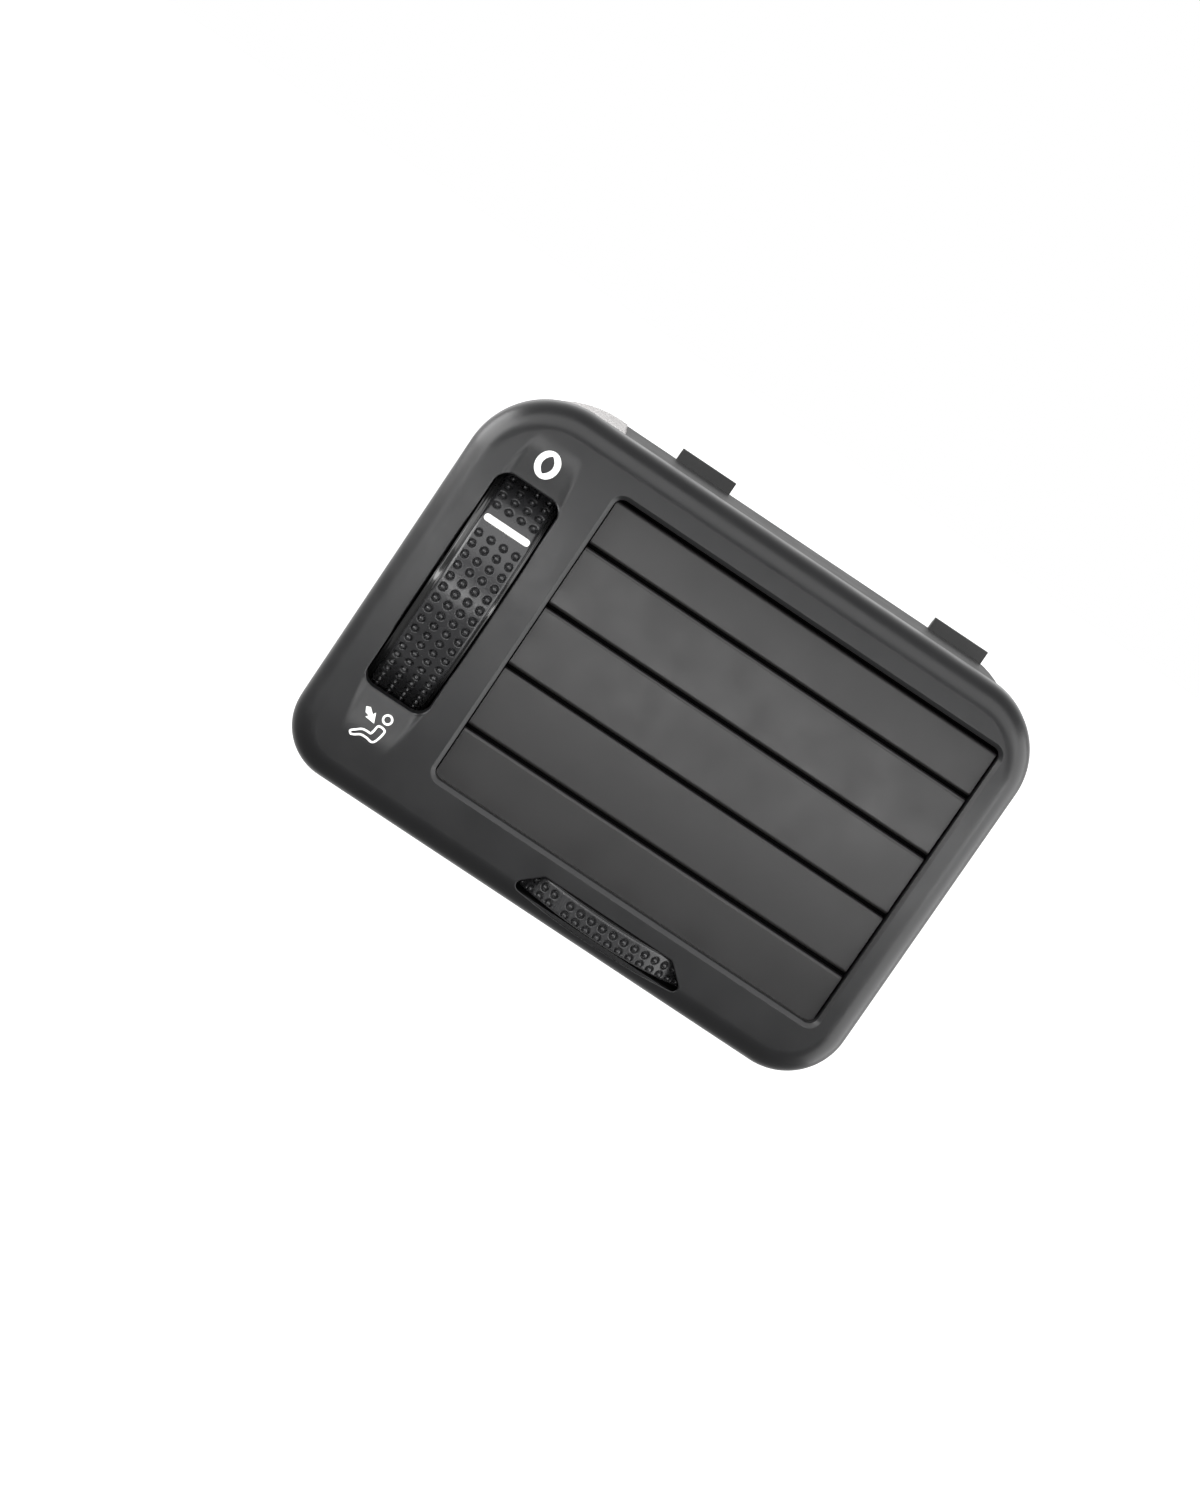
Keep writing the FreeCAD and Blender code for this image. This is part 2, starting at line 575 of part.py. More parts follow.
def add_swing_bearing(housing):
    """Boss and bore for the vane wheel's axle, and the arc slot for its crank pin."""
    gap = "Sizes.swing_floor_gap"
    axle = (SWING_ACROSS, SWING_AXIS)
    pad(housing, "SwingBoss", "XY_Plane", "%s + Sizes.shell_wall / 2" % SHELL_LOW,
        "%s - %s" % (SWING_LOW, gap), lambda s: circle(s, *axle, "Sizes.swing_hub"))
    pocket(housing, "SwingBore", "XY_Plane", SHELL_LOW, CHANNEL_LOW,
           lambda s: circle(s, *axle, "Sizes.axle_radius"))
    arc_slot(housing, "CrankSlot", "XY_Plane", "%s - Sizes.channel_wall" % CHANNEL_LOW, CHANNEL_LOW,
             axle, "Sizes.vane_crank", "Sizes.vane_slot_start_angle",
             "Sizes.vane_slot_stop_angle")


def cut_slat_window(housing):
    """Window in the channel's left wall through which the slats' crank pins reach the link."""
    pocket(housing, "LinkWindow", "YZ_Plane", "%s - Sizes.channel_wall" % CHANNEL_LEFT, CHANNEL_LEFT,
           lambda s: box(s, "%s - Sizes.crank_boss - Sizes.crank_slot_gap" % SLAT_AXIS,
                         "%s + Sizes.slat_crank + 2 * Sizes.crank_pin" % SLAT_AXIS,
                         "%s - Sizes.slat_crank - Sizes.crank_pin - Sizes.crank_slot_gap"
                         % slat_up("4"), "%s + Sizes.crank_boss" % slat_up("0")))


def slat_up(index):
    return "(%s + (2 - %s) * %s)" % (OUTLET_LEVEL, index, SLAT_PITCH)


def vane_across(index):
    return "(%s + (%s - 2.5) * %s)" % (OUTLET_MIDDLE, index, VANE_PITCH)


def cut_vane_holes(housing):
    for index in range(VANE_COUNT):
        pocket(housing, "VaneHole%d" % index, "XY_Plane", "%s - Sizes.channel_wall" % CHANNEL_LOW,
               CHANNEL_LOW, lambda s: circle(s, vane_across(index), VANE_AXIS,
                                             "Sizes.vane_pin + Sizes.run_gap"))


def add_stop_rib(housing):
    """A rib under the channel's roof that the top slat closes against."""
    front = "%s - Sizes.slat_back + Sizes.slat_thick + Sizes.slat_lap_gap" % SLAT_AXIS
    low = "%s - Sizes.slat_lip_gap - Sizes.slat_lap" % OUTLET_TOP
    pad(housing, "StopRib", "YZ_Plane", "%s + Sizes.strip_thick" % CHANNEL_LEFT,
        "%s - Sizes.strip_thick" % CHANNEL_RIGHT,
        lambda s: box(s, front, "%s + Sizes.slat_lap_thick" % front, low,
                      "%s + Sizes.channel_wall / 2" % CHANNEL_TOP))


def add_clip(housing, name, centre):
    """A retaining clip: an upright catch face in front, and a ramp behind it."""
    back = "Sizes.shell_deep - Sizes.shell_bevel"
    front = "%s - Sizes.clip_thick" % back
    top = "%s + Sizes.clip_high" % SHELL_TOP
    root = "%s - Sizes.shell_wall / 2" % SHELL_TOP
    corners = [(front, root, None), (back, root, None), (back, "%s - Sizes.clip_high / 2" % top, None),
               ("%s + Sizes.clip_thick / 2" % front, top, None), (front, top, None)]
    pad(housing, name, "YZ_Plane", "%s - Sizes.clip_wide / 2" % centre,
        "%s + Sizes.clip_wide / 2" % centre, lambda s: outline(s, corners))


def make_slat_strip(label, left, right):
    """A bearing strip at one end of the slats, with a ledge that keeps light out behind them."""
    strip = body(label)
    back = "%s + Sizes.strip_back" % PLATE_BACK
    pad(strip, "Plate", "YZ_Plane", left, right,
        lambda s: box(s, PLATE_BACK, back, "%s + Sizes.channel_corner" % CHANNEL_LOW,
                      "%s - Sizes.channel_corner" % CHANNEL_TOP))
    ledge = ("%s - Sizes.ledge_reach" % left, left) if label == "slat_strip_right" else (
        right, "%s + Sizes.ledge_reach" % right)
    pad(strip, "LightStop", "YZ_Plane", *ledge,
        lambda s: box(s, "%s - Sizes.ledge_thick" % back, back, OUTLET_LOW, OUTLET_TOP))
    for index in range(SLAT_COUNT):
        pocket(strip, "Hole%d" % index, "YZ_Plane", left, right,
               lambda s: circle(s, SLAT_AXIS, slat_up(index), "Sizes.slat_pin + Sizes.run_gap"))
        if label == "slat_strip_left":
            arc_slot(strip, "CrankArc%d" % index, "YZ_Plane", left, right,
                     (SLAT_AXIS, slat_up(index)), "Sizes.slat_crank",
                     "Sizes.slat_slot_start_angle", "Sizes.slat_slot_stop_angle")
    return strip


def make_slat(index):
    """A slat about its own axis: face plate, web and spine in a T, end pins and a crank pin."""
    slat = body("slat_%d" % (index + 1))
    chord = "(%s - Sizes.slat_gap)" % SLAT_PITCH
    low = "0 - %s / 2" % chord
    high = "%s / 2" % chord
    if index == 0:
        high = "%s - Sizes.slat_lip_gap - %s" % (OUTLET_TOP, slat_up(index))
    if index == SLAT_COUNT - 1:
        low = "%s - Sizes.slat_lip_cover - %s" % (OUTLET_LOW, slat_up(index))
    face = "0 - Sizes.slat_back"
    rear = "Sizes.slat_thick - Sizes.slat_back"
    pad(slat, "Plate", "YZ_Plane", SLAT_LEFT, SLAT_RIGHT,
        lambda s: box(s, face, rear, low, high,
                      ["Sizes.slat_corner", None, None, "Sizes.slat_corner"]))
    if index < SLAT_COUNT - 1:
        lap = "%s + Sizes.slat_lap_gap" % rear
        pad(slat, "Lap", "YZ_Plane", SLAT_LEFT, SLAT_RIGHT,
            lambda s: outline(s, [("%s - Sizes.slat_thick / 2" % rear, "%s + Sizes.slat_lap" % low, None),
                                  (lap, "%s + Sizes.slat_corner / 2" % low, None),
                                  (lap, "%s - Sizes.slat_gap - Sizes.slat_lap" % low, None),
                                  ("%s + Sizes.slat_lap_thick" % lap,
                                   "%s - Sizes.slat_gap - Sizes.slat_lap" % low, None),
                                  ("%s + Sizes.slat_lap_thick" % lap, "%s + 2 * Sizes.slat_lap" % low,
                                   None),
                                  ("%s - Sizes.slat_thick / 2" % rear, "%s + 3 * Sizes.slat_lap" % low,
                                   None)]))
    pad(slat, "Web", "YZ_Plane", SLAT_LEFT, SLAT_RIGHT,
        lambda s: box(s, "%s - Sizes.slat_thick / 2" % rear, "0", "0 - Sizes.slat_web / 2",
                      "Sizes.slat_web / 2"))
    spine = "Sizes.slat_spine"
    pad(slat, "Spine", "YZ_Plane", SLAT_LEFT, SLAT_RIGHT,
        lambda s: box(s, "0 - %s" % spine, spine, "0 - %s" % spine, spine))
    ear_right = "%s + Sizes.slat_web" % SLAT_LEFT
    pad(slat, "Ear", "YZ_Plane", SLAT_LEFT, ear_right,
        lambda s: box(s, "%s - Sizes.slat_thick / 2" % rear, spine, "0 - Sizes.slat_ear", spine,
                      [None, "Sizes.slat_corner", None, None]))
    pad(slat, "Pins", "YZ_Plane", CHANNEL_LEFT, CHANNEL_RIGHT,
        lambda s: circle(s, "0", "0", "Sizes.slat_pin"))
    pad(slat, "CrankPin", "YZ_Plane", "%s - Sizes.run_gap" % LINK_LEFT, ear_right,
        lambda s: circle(s, "0", "0 - Sizes.slat_crank", "Sizes.crank_pin"))
    slat.setExpression("Placement.Base.y", SLAT_AXIS)
    slat.setExpression("Placement.Base.z", slat_up(index))
    return slat


def make_slat_link():
    """The upright bar that joins the five slats' crank pins to the thumbwheel's."""
    link = body("slat_link")
    drop = "Sizes.slat_crank"
    boss = "Sizes.crank_boss"
    pin_up = [("%s - %s" % (slat_up(index), drop)) for index in range(SLAT_COUNT)]
    wheel_up = "%s - %s" % (OUTLET_LEVEL, drop)
    pad(link, "Bar", "YZ_Plane", LINK_LEFT, LINK_RIGHT,
        lambda s: box(s, "%s - %s" % (SLAT_AXIS, boss), "%s + %s" % (SLAT_AXIS, boss),
                      "%s - %s" % (pin_up[-1], boss), "%s + %s" % (pin_up[0], boss),
                      ["Sizes.crank_boss - Sizes.run_gap"] * 4))
    pad(link, "Arm", "YZ_Plane", LINK_LEFT, LINK_RIGHT,
        lambda s: box(s, "%s - %s / 2" % (SLAT_AXIS, boss), "%s + %s" % (FLOW_AXIS, boss),
                      "%s - %s" % (wheel_up, boss), "%s + %s" % (wheel_up, boss),
                      [None, "Sizes.crank_boss - Sizes.run_gap", "Sizes.crank_boss - Sizes.run_gap",
                       None]))
    bore = "Sizes.crank_pin + Sizes.run_gap"
    for index, up in enumerate(pin_up):
        pocket(link, "Hole%d" % index, "YZ_Plane", LINK_LEFT, LINK_RIGHT,
               lambda s: circle(s, SLAT_AXIS, up, bore))
    pocket(link, "WheelHole", "YZ_Plane", LINK_LEFT, LINK_RIGHT,
           lambda s: circle(s, FLOW_AXIS, wheel_up, bore))
    return link


def make_flow_wheel():
    """Slat thumbwheel about its own axis: rim, dished web, hub, crank pin and glossy shoulders."""
    wheel = body("flow_wheel")
    origin = ("0", "0")
    rim = "Sizes.flow_radius - Sizes.flow_grip_thick"
    half = "Sizes.flow_wide / 2"
    pad(wheel, "Rim", "YZ_Plane", "0 - %s" % half, half, lambda s: circle(s, *origin, rim))
    shoulder = "Sizes.flow_radius - Sizes.flow_grip_thick / 2"
    pad(wheel, "ShoulderLeft", "YZ_Plane", "0 - %s" % half, GRIP_LEFT,
        lambda s: circle(s, *origin, shoulder))
    pad(wheel, "ShoulderRight", "YZ_Plane", GRIP_RIGHT, half, lambda s: circle(s, *origin, shoulder))
    inner = "%s - Sizes.flow_rim" % rim
    for side, low, high in (("Left", "0 - %s" % half, "0 - Sizes.flow_web / 2"),
                            ("Right", "Sizes.flow_web / 2", half)):
        pocket(wheel, "Dish" + side, "YZ_Plane", low, high, lambda s: circle(s, *origin, inner))
    pad(wheel, "Hub", "YZ_Plane", "0 - %s" % half, half, lambda s: circle(s, *origin, "Sizes.flow_hub"))
    pocket(wheel, "HubBore", "YZ_Plane", "0 - %s" % half, half,
           lambda s: circle(s, *origin, "Sizes.axle_radius + Sizes.run_gap"))
    link_left = "%s - %s" % (LINK_LEFT, SLOT_ACROSS)
    crank = ("0", "0 - Sizes.slat_crank")
    pad(wheel, "CrankPost", "YZ_Plane", "0", half,
        lambda s: circle(s, *crank, "Sizes.flow_crank_post"))
    pad(wheel, "CrankPin", "YZ_Plane", "0", "%s + Sizes.link_thick + Sizes.run_gap" % link_left,
        lambda s: circle(s, *crank, "Sizes.crank_pin"))
    place_on_flow_axis(wheel)
    return wheel


def make_flow_grip():
    """Soft band on the slat wheel's rim, between the glossy shoulders, notched for the marker."""
    grip = body("flow_grip")
    pad(grip, "Band", "YZ_Plane", GRIP_LEFT, GRIP_RIGHT,
        lambda s: circle(s, "0", "0", "Sizes.flow_radius"))
    pocket(grip, "BandBore", "YZ_Plane", GRIP_LEFT, GRIP_RIGHT,
           lambda s: circle(s, "0", "0", "Sizes.flow_radius - Sizes.flow_grip_thick"))
    marker_slot(grip, GRIP_LEFT, GRIP_RIGHT)
    place_on_flow_axis(grip)
    return grip


def marker_slot(grip, low, high):
    """The notch that the marker bar sits in, cut where the marker points."""
    sketch = sketch_on(grip, "NotchSketch", "YZ_Plane", low)
    sketch.AttachmentOffset = FreeCAD.Placement(V(0, 0, 0), FreeCAD.Rotation(V(0, 0, 1), 10))
    sketch.setExpression("AttachmentOffset.Base.z", high)
    sketch.setExpression("AttachmentOffset.Rotation.Angle", "180 - Sizes.flow_marker_angle")
    half = "Sizes.flow_marker_wide / 2"
    box(sketch, "Sizes.flow_radius - Sizes.flow_grip_thick / 2", "Sizes.flow_radius + 1",
        "0 - %s" % half, half)
    notch = grip.newObject("PartDesign::Pocket", "Notch")
    notch.Profile = sketch
    notch.setExpression("Length", "%s - (%s)" % (high, low))


def place_on_flow_axis(piece):
    piece.setExpression("Placement.Base.x", SLOT_ACROSS)
    piece.setExpression("Placement.Base.y", FLOW_AXIS)
    piece.setExpression("Placement.Base.z", OUTLET_LEVEL)


def make_flow_marker():
    """The white index bar inlaid across the slat wheel's grip."""
    marker = body("flow_marker")
    sketch = sketch_on(marker, "BarSketch", "YZ_Plane", GRIP_LEFT)
    sketch.AttachmentOffset = FreeCAD.Placement(V(0, 0, 0), FreeCAD.Rotation(V(0, 0, 1), 10))
    sketch.setExpression("AttachmentOffset.Base.z", GRIP_LEFT)
    sketch.setExpression("AttachmentOffset.Rotation.Angle", "180 - Sizes.flow_marker_angle")
    wide = "Sizes.flow_marker_wide / 2"
    box(sketch, "Sizes.flow_radius - Sizes.flow_grip_thick / 2", "Sizes.flow_radius + Sizes.flow_marker_proud",
        "0 - %s" % wide, wide)
    bar = marker.newObject("PartDesign::Pad", "Bar")
    bar.Profile = sketch
    bar.setExpression("Length", "%s - %s" % (GRIP_RIGHT, GRIP_LEFT))
    place_on_flow_axis(marker)
    return marker


def make_flow_axle():
    """The slat wheel's steel pin, from one bearing arm to the other."""
    axle = body("flow_axle")
    gap = "(Sizes.drum_gap / 2 + Sizes.arm_thick)"
    pad(axle, "Pin", "YZ_Plane", "%s - %s" % (FLOW_LEFT, gap), "%s + %s" % (FLOW_RIGHT, gap),
        lambda s: circle(s, FLOW_AXIS, OUTLET_LEVEL, "Sizes.axle_radius"))
    return axle


def sector(owner, name, low, high, radius):
    """A pie slice about the body's upright axis, centred on the front."""
    reach = "Sizes.swing_radius * 2"
    half = "Sizes.swing_sector_angle"
    pad(owner, name, "XY_Plane", low, high, lambda s: circle(s, "0", "0", radius))
    corners = [("0", "0", None),
               ("%s * sin(%s)" % (reach, half), "0 - %s * cos(%s)" % (reach, half), None),
               (reach, reach, None), ("0 - %s" % reach, reach, None),
               ("0 - %s * sin(%s)" % (reach, half), "0 - %s * cos(%s)" % (reach, half), None)]
    pocket(owner, name + "Trim", "XY_Plane", low, high, lambda s: outline(s, corners))


def turn_to_rest(piece, across, deep):
    """Stands a piece on an upright axis, turned to the rest angle that the vane wheel shows."""
    piece.Placement = FreeCAD.Placement(V(0, 0, 0), FreeCAD.Rotation(V(0, 0, 1), -10))
    piece.setExpression("Placement.Base.x", across)
    piece.setExpression("Placement.Base.y", deep)
    piece.setExpression("Placement.Rotation.Angle", "Sizes.swing_rest_angle")


def make_swing_wheel():
    """Vane thumbwheel: a fan with a rim, a thin web, a hub, and a crank pin through the floor."""
    wheel = body("swing_wheel")
    origin = ("0", "0")
    rim = "Sizes.swing_radius - Sizes.swing_grip_thick"
    sector(wheel, "Rim", SWING_LOW, SWING_TOP, rim)
    middle = "(%s + Sizes.swing_rim_high / 2)" % SWING_LOW
    inner = "%s - Sizes.swing_rim_thick" % rim
    for side, low, high in (("Low", SWING_LOW, "%s - Sizes.swing_web / 2" % middle),
                            ("Top", "%s + Sizes.swing_web / 2" % middle, SWING_TOP)):
        pocket(wheel, "Dish" + side, "XY_Plane", low, high, lambda s: circle(s, *origin, inner))
    pad(wheel, "Hub", "XY_Plane", SWING_LOW, SWING_TOP, lambda s: circle(s, *origin, "Sizes.swing_hub"))
    arm = "Sizes.vane_crank + Sizes.crank_boss"
    half = "Sizes.crank_boss"
    pad(wheel, "CrankArm", "XY_Plane", "%s - Sizes.swing_web / 2" % middle, SWING_TOP,
        lambda s: box(s, "0 - %s" % half, half, "0", arm,
                      [None, None] + ["Sizes.crank_boss - Sizes.run_gap"] * 2))
    pocket(wheel, "HubBore", "XY_Plane", SWING_LOW, SWING_TOP,
           lambda s: circle(s, *origin, "Sizes.axle_radius + Sizes.run_gap"))
    pad(wheel, "CrankPin", "XY_Plane", SWING_TOP,
        "%s + Sizes.vane_link_thick + Sizes.run_gap" % VANE_LINK_LOW,
        lambda s: circle(s, "0", "Sizes.vane_crank", "Sizes.crank_pin"))
    turn_to_rest(wheel, SWING_ACROSS, SWING_AXIS)
    return wheel


def make_swing_grip():
    """Soft band on the vane wheel's rim, with a smooth index bar at its middle."""
    grip = body("swing_grip")
    sector(grip, "Band", SWING_LOW, SWING_TOP, "Sizes.swing_radius")
    pocket(grip, "BandBore", "XY_Plane", SWING_LOW, SWING_TOP,
           lambda s: circle(s, "0", "0", "Sizes.swing_radius - Sizes.swing_grip_thick"))
    turn_to_rest(grip, SWING_ACROSS, SWING_AXIS)
    return grip


def make_swing_axle():
    axle = body("swing_axle")
    pad(axle, "Pin", "XY_Plane", SHELL_LOW, CHANNEL_LOW,
        lambda s: circle(s, SWING_ACROSS, SWING_AXIS, "Sizes.axle_radius"))
    return axle


def make_vane(index):
    """A vane about its own upright axis: rounded plate, end pins, and a crank pin behind."""
    vane = body("vane_%d" % (index + 1))
    half = "Sizes.vane_thick / 2"
    chord = "Sizes.vane_chord / 2"
    pad(vane, "Plate", "XY_Plane", VANE_LOW, VANE_TOP,
        lambda s: box(s, "0 - %s" % half, half, "0 - %s" % chord, chord,
                      ["Sizes.vane_round"] * 2 + [None, None]))
    spine = "Sizes.vane_spine"
    pad(vane, "Spine", "XY_Plane", VANE_LOW, VANE_TOP,
        lambda s: box(s, "0 - %s" % spine, spine, "0 - %s" % spine, spine))
    pad(vane, "Pins", "XY_Plane", "%s - Sizes.channel_wall" % CHANNEL_LOW, CHANNEL_TOP,
        lambda s: circle(s, "0", "0", "Sizes.vane_pin"))
    pad(vane, "CrankPin", "XY_Plane", "%s - Sizes.run_gap" % VANE_LINK_LOW, VANE_LOW,
        lambda s: circle(s, "0", "Sizes.vane_crank", "Sizes.crank_pin"))
    turn_to_rest(vane, vane_across(index), VANE_AXIS)
    return vane


def make_vane_strip():
    """The bearing strip over the vanes."""
    strip = body("vane_strip")
    low = "%s - Sizes.strip_thick" % CHANNEL_TOP
    pad(strip, "Plate", "XY_Plane", low, CHANNEL_TOP,
        lambda s: box(s, "%s + Sizes.channel_corner" % CHANNEL_LEFT,
                      "%s - Sizes.channel_corner" % CHANNEL_RIGHT,
                      "%s - Sizes.vane_crank / 2" % VANE_AXIS,
                      "%s + Sizes.vane_crank / 2" % VANE_AXIS))
    for index in range(VANE_COUNT):
        pocket(strip, "Hole%d" % index, "XY_Plane", low, CHANNEL_TOP,
               lambda s: circle(s, vane_across(index), VANE_AXIS, "Sizes.vane_pin + Sizes.run_gap"))
    return strip


def make_vane_link():
    """The bar under the vanes, with a lug for the thumbwheel's crank pin, from the first pin on."""
    link = body("vane_link")
    half = "Sizes.vane_link_half"
    high = "%s + Sizes.vane_link_thick" % VANE_LINK_LOW
    length = "%d * %s" % (VANE_COUNT - 1, VANE_PITCH)
    lug_across = "(%s - %s)" % (SWING_ACROSS, vane_across("0"))
    lug_deep = "(%s - %s)" % (SWING_AXIS, VANE_AXIS)
    pad(link, "Bar", "XY_Plane", VANE_LINK_LOW, high,
        lambda s: box(s, "0 - %s" % half, "%s + %s" % (length, half), "0 - %s" % half, half,
                      ["Sizes.vane_link_half - Sizes.run_gap"] * 4))
    pad(link, "Lug", "XY_Plane", VANE_LINK_LOW, high,
        lambda s: box(s, "%s - %s" % (lug_across, half), "%s + %s" % (lug_across, half),
                      "%s - %s" % (lug_deep, half), "0",
                      ["Sizes.vane_link_half - Sizes.run_gap"] * 2 + [None, None]))
    bore = "Sizes.crank_pin + Sizes.run_gap"
    for index in range(VANE_COUNT):
        pocket(link, "Hole%d" % index, "XY_Plane", VANE_LINK_LOW, high,
               lambda s: circle(s, "%d * %s" % (index, VANE_PITCH), "0", bore))
    pocket(link, "WheelHole", "XY_Plane", VANE_LINK_LOW, high,
           lambda s: circle(s, lug_across, lug_deep, bore))
    link.setExpression("Placement.Base.x",
                       "%s - Sizes.vane_crank * sin(Sizes.swing_rest_angle)" % vane_across("0"))
    link.setExpression("Placement.Base.y",
                       "%s + Sizes.vane_crank * cos(Sizes.swing_rest_angle)" % VANE_AXIS)
    return link


def make_seal():
    """Foam gasket around the collar's rear end."""
    seal = body("inlet_seal")
    wall = "Sizes.channel_wall"
    front = "%s - Sizes.seal_long" % COLLAR_BACK
    outer = "(Sizes.channel_wall + Sizes.seal_thick)"
    pad(seal, "Block", "XZ_Plane", front, COLLAR_BACK,
        lambda s: box(s, "%s - %s" % (CHANNEL_LEFT, outer), "%s + %s" % (CHANNEL_RIGHT, outer),
                      "%s - %s" % (CHANNEL_LOW, outer), "%s + %s" % (CHANNEL_TOP, outer),
                      ["Sizes.channel_corner + %s" % outer] * 4))
    pocket(seal, "Bore", "XZ_Plane", front, COLLAR_BACK,
           lambda s: box(s, "%s - %s" % (CHANNEL_LEFT, wall), "%s + %s" % (CHANNEL_RIGHT, wall),
                         "%s - %s" % (CHANNEL_LOW, wall), "%s + %s" % (CHANNEL_TOP, wall),
                         ["Sizes.channel_corner + Sizes.channel_wall"] * 4))
    return seal


def make_corner_pad():
    """Thin felt strip wrapped on the shell's top left corner."""
    felt = body("corner_pad")
    front, back = "Sizes.pad_front", "Sizes.pad_front + Sizes.pad_deep"
    grow = "(%s - Sizes.pad_thick)" % SHELL_INSET
    radii = ["Sizes.shell_corner_left"] * 3 + ["Sizes.shell_corner_left + Sizes.pad_thick"]
    pad(felt, "Block", "XZ_Plane", front, back, lambda s: inset_box(s, grow, radii))
    pocket(felt, "Bore", "XZ_Plane", front, back,
           lambda s: inset_box(s, SHELL_INSET, ["Sizes.shell_corner_left"] * 4))
    far = "Sizes.bezel_wide"
    pocket(felt, "TrimRight", "XZ_Plane", front, back,
           lambda s: box(s, "Sizes.pad_stop - %s" % HALF_WIDE, far, "0 - %s" % far, far))
    pocket(felt, "TrimLeft", "XZ_Plane", front, back,
           lambda s: box(s, "0 - %s" % far, "Sizes.pad_start - %s" % HALF_WIDE, "0 - %s" % far, far))
    pocket(felt, "TrimLow", "XZ_Plane", front, back,
           lambda s: box(s, "0 - %s" % far, far, "0 - %s" % far, "0"))
    return felt


def make_all():
    made = [make_bezel(), make_housing(),
            make_slat_strip("slat_strip_left", CHANNEL_LEFT,
                            "%s + Sizes.strip_thick" % CHANNEL_LEFT),
            make_slat_strip("slat_strip_right", "%s - Sizes.strip_thick" % CHANNEL_RIGHT,
                            CHANNEL_RIGHT),
            make_slat_link(), make_flow_wheel(), make_flow_grip(), make_flow_marker(),
            make_flow_axle(), make_swing_wheel(), make_swing_grip(), make_swing_axle(),
            make_vane_strip(), make_vane_link(), make_seal(), make_corner_pad()]
    made += [make_slat(index) for index in range(SLAT_COUNT)]
    made += [make_vane(index) for index in range(VANE_COUNT)]
    return made


parts = make_all()
document.recompute()
for item in document.Objects:
    if "Invalid" in item.State or "Error" in item.State:
        raise RuntimeError("%s failed: %s" % (item.Label, item.State))
for made in parts:
    if made.Shape.isNull() or not made.Shape.isValid() or len(made.Shape.Solids) != 1:
        raise RuntimeError("%s is not one valid solid" % made.Label)
os.makedirs("parts", exist_ok=True)
for made in parts:
    made.Shape.exportStep("parts/%s.step" % made.Label)
    print(made.Label, round(made.Shape.Volume, 1))
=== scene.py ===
import json
import math

import bmesh
import bpy
import numpy as np
from mathutils import Matrix, Vector
from mathutils.geometry import tessellate_polygon


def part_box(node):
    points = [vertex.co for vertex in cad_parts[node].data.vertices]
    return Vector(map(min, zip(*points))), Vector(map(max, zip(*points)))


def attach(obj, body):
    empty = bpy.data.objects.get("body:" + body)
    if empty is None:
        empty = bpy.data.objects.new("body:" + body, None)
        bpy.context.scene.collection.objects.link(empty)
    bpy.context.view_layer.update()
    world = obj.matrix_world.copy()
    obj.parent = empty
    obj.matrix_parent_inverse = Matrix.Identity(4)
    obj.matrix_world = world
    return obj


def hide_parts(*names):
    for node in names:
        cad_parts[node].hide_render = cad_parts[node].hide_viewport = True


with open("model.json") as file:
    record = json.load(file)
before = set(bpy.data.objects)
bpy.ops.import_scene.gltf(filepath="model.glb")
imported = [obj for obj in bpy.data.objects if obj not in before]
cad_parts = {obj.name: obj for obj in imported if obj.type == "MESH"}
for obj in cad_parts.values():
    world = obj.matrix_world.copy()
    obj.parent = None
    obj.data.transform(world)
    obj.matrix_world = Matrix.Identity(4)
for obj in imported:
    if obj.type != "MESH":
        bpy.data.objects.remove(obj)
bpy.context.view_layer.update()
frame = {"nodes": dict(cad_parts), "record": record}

bl_info = {
    "name": "Dashboard air vent looks",
    "version": (1, 0, 0),
    "blender": (4, 5, 0),
    "location": "3D View > Sidebar > Air vent",
    "description": "Builds the visible surfaces and finishes of a dashboard air vent on its packed frame",
    "category": "Add Mesh",
}

MM = 0.001


def node_box(name):
    """A node's lowest and highest corners in millimetres."""
    low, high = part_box(name)
    return np.array(low) / MM, np.array(high) / MM


FACE_LOW, FACE_HIGH = node_box("bezel")
FLOW_LOW, FLOW_HIGH = node_box("flow_grip")
SWING_LOW, SWING_HIGH = node_box("swing_grip")
AXES = {joint["name"]: np.array(joint["pos_m"]) / MM for joint in frame["record"]["behaviour"]["joints"]}
FLOW_AXIS, SWING_AXIS = AXES["flow_turn"], AXES["swing_turn"]


class VentSizes(bpy.types.PropertyGroup):
    """Sizes of the modelled surfaces, in millimetres or degrees."""

    border_wide: bpy.props.FloatProperty(
        name="Border width", description="How far the bezel's rolled border reaches inwards, in mm", default=6.1,
        min=2.0, max=6.1)
    border_deep: bpy.props.FloatProperty(
        name="Border depth", description="How far the bezel's rolled border falls back, in mm", default=7.0,
        min=2.0, max=9.0)
    edge_round: bpy.props.FloatProperty(
        name="Edge round", description="Radius on the slat wheel's slot, in mm", default=0.45, min=0.1, max=0.6)
    scoop_soft: bpy.props.FloatProperty(
        name="Scoop softness", description="Width over which the finger scoops' creases blend, in mm",
        default=0.9, min=0.1, max=3.0)
    dot_radius: bpy.props.FloatProperty(
        name="Dot radius", description="Radius of a grip dot's raised middle, in mm", default=0.72, min=0.2,
        max=1.0)
    dot_rise: bpy.props.FloatProperty(
        name="Dot rise", description="Scale of a grip dot's height and its moat's depth, in mm", default=0.7,
        min=0.05, max=0.8)
    moat_radius: bpy.props.FloatProperty(
        name="Moat radius", description="Radius of the ring sunk round a grip dot, in mm", default=1.2, min=0.5,
        max=1.5)
    print_lift: bpy.props.FloatProperty(
        name="Print lift", description="Height of the printed symbols over the bezel, in mm", default=0.03,
        min=0.01, max=0.2)


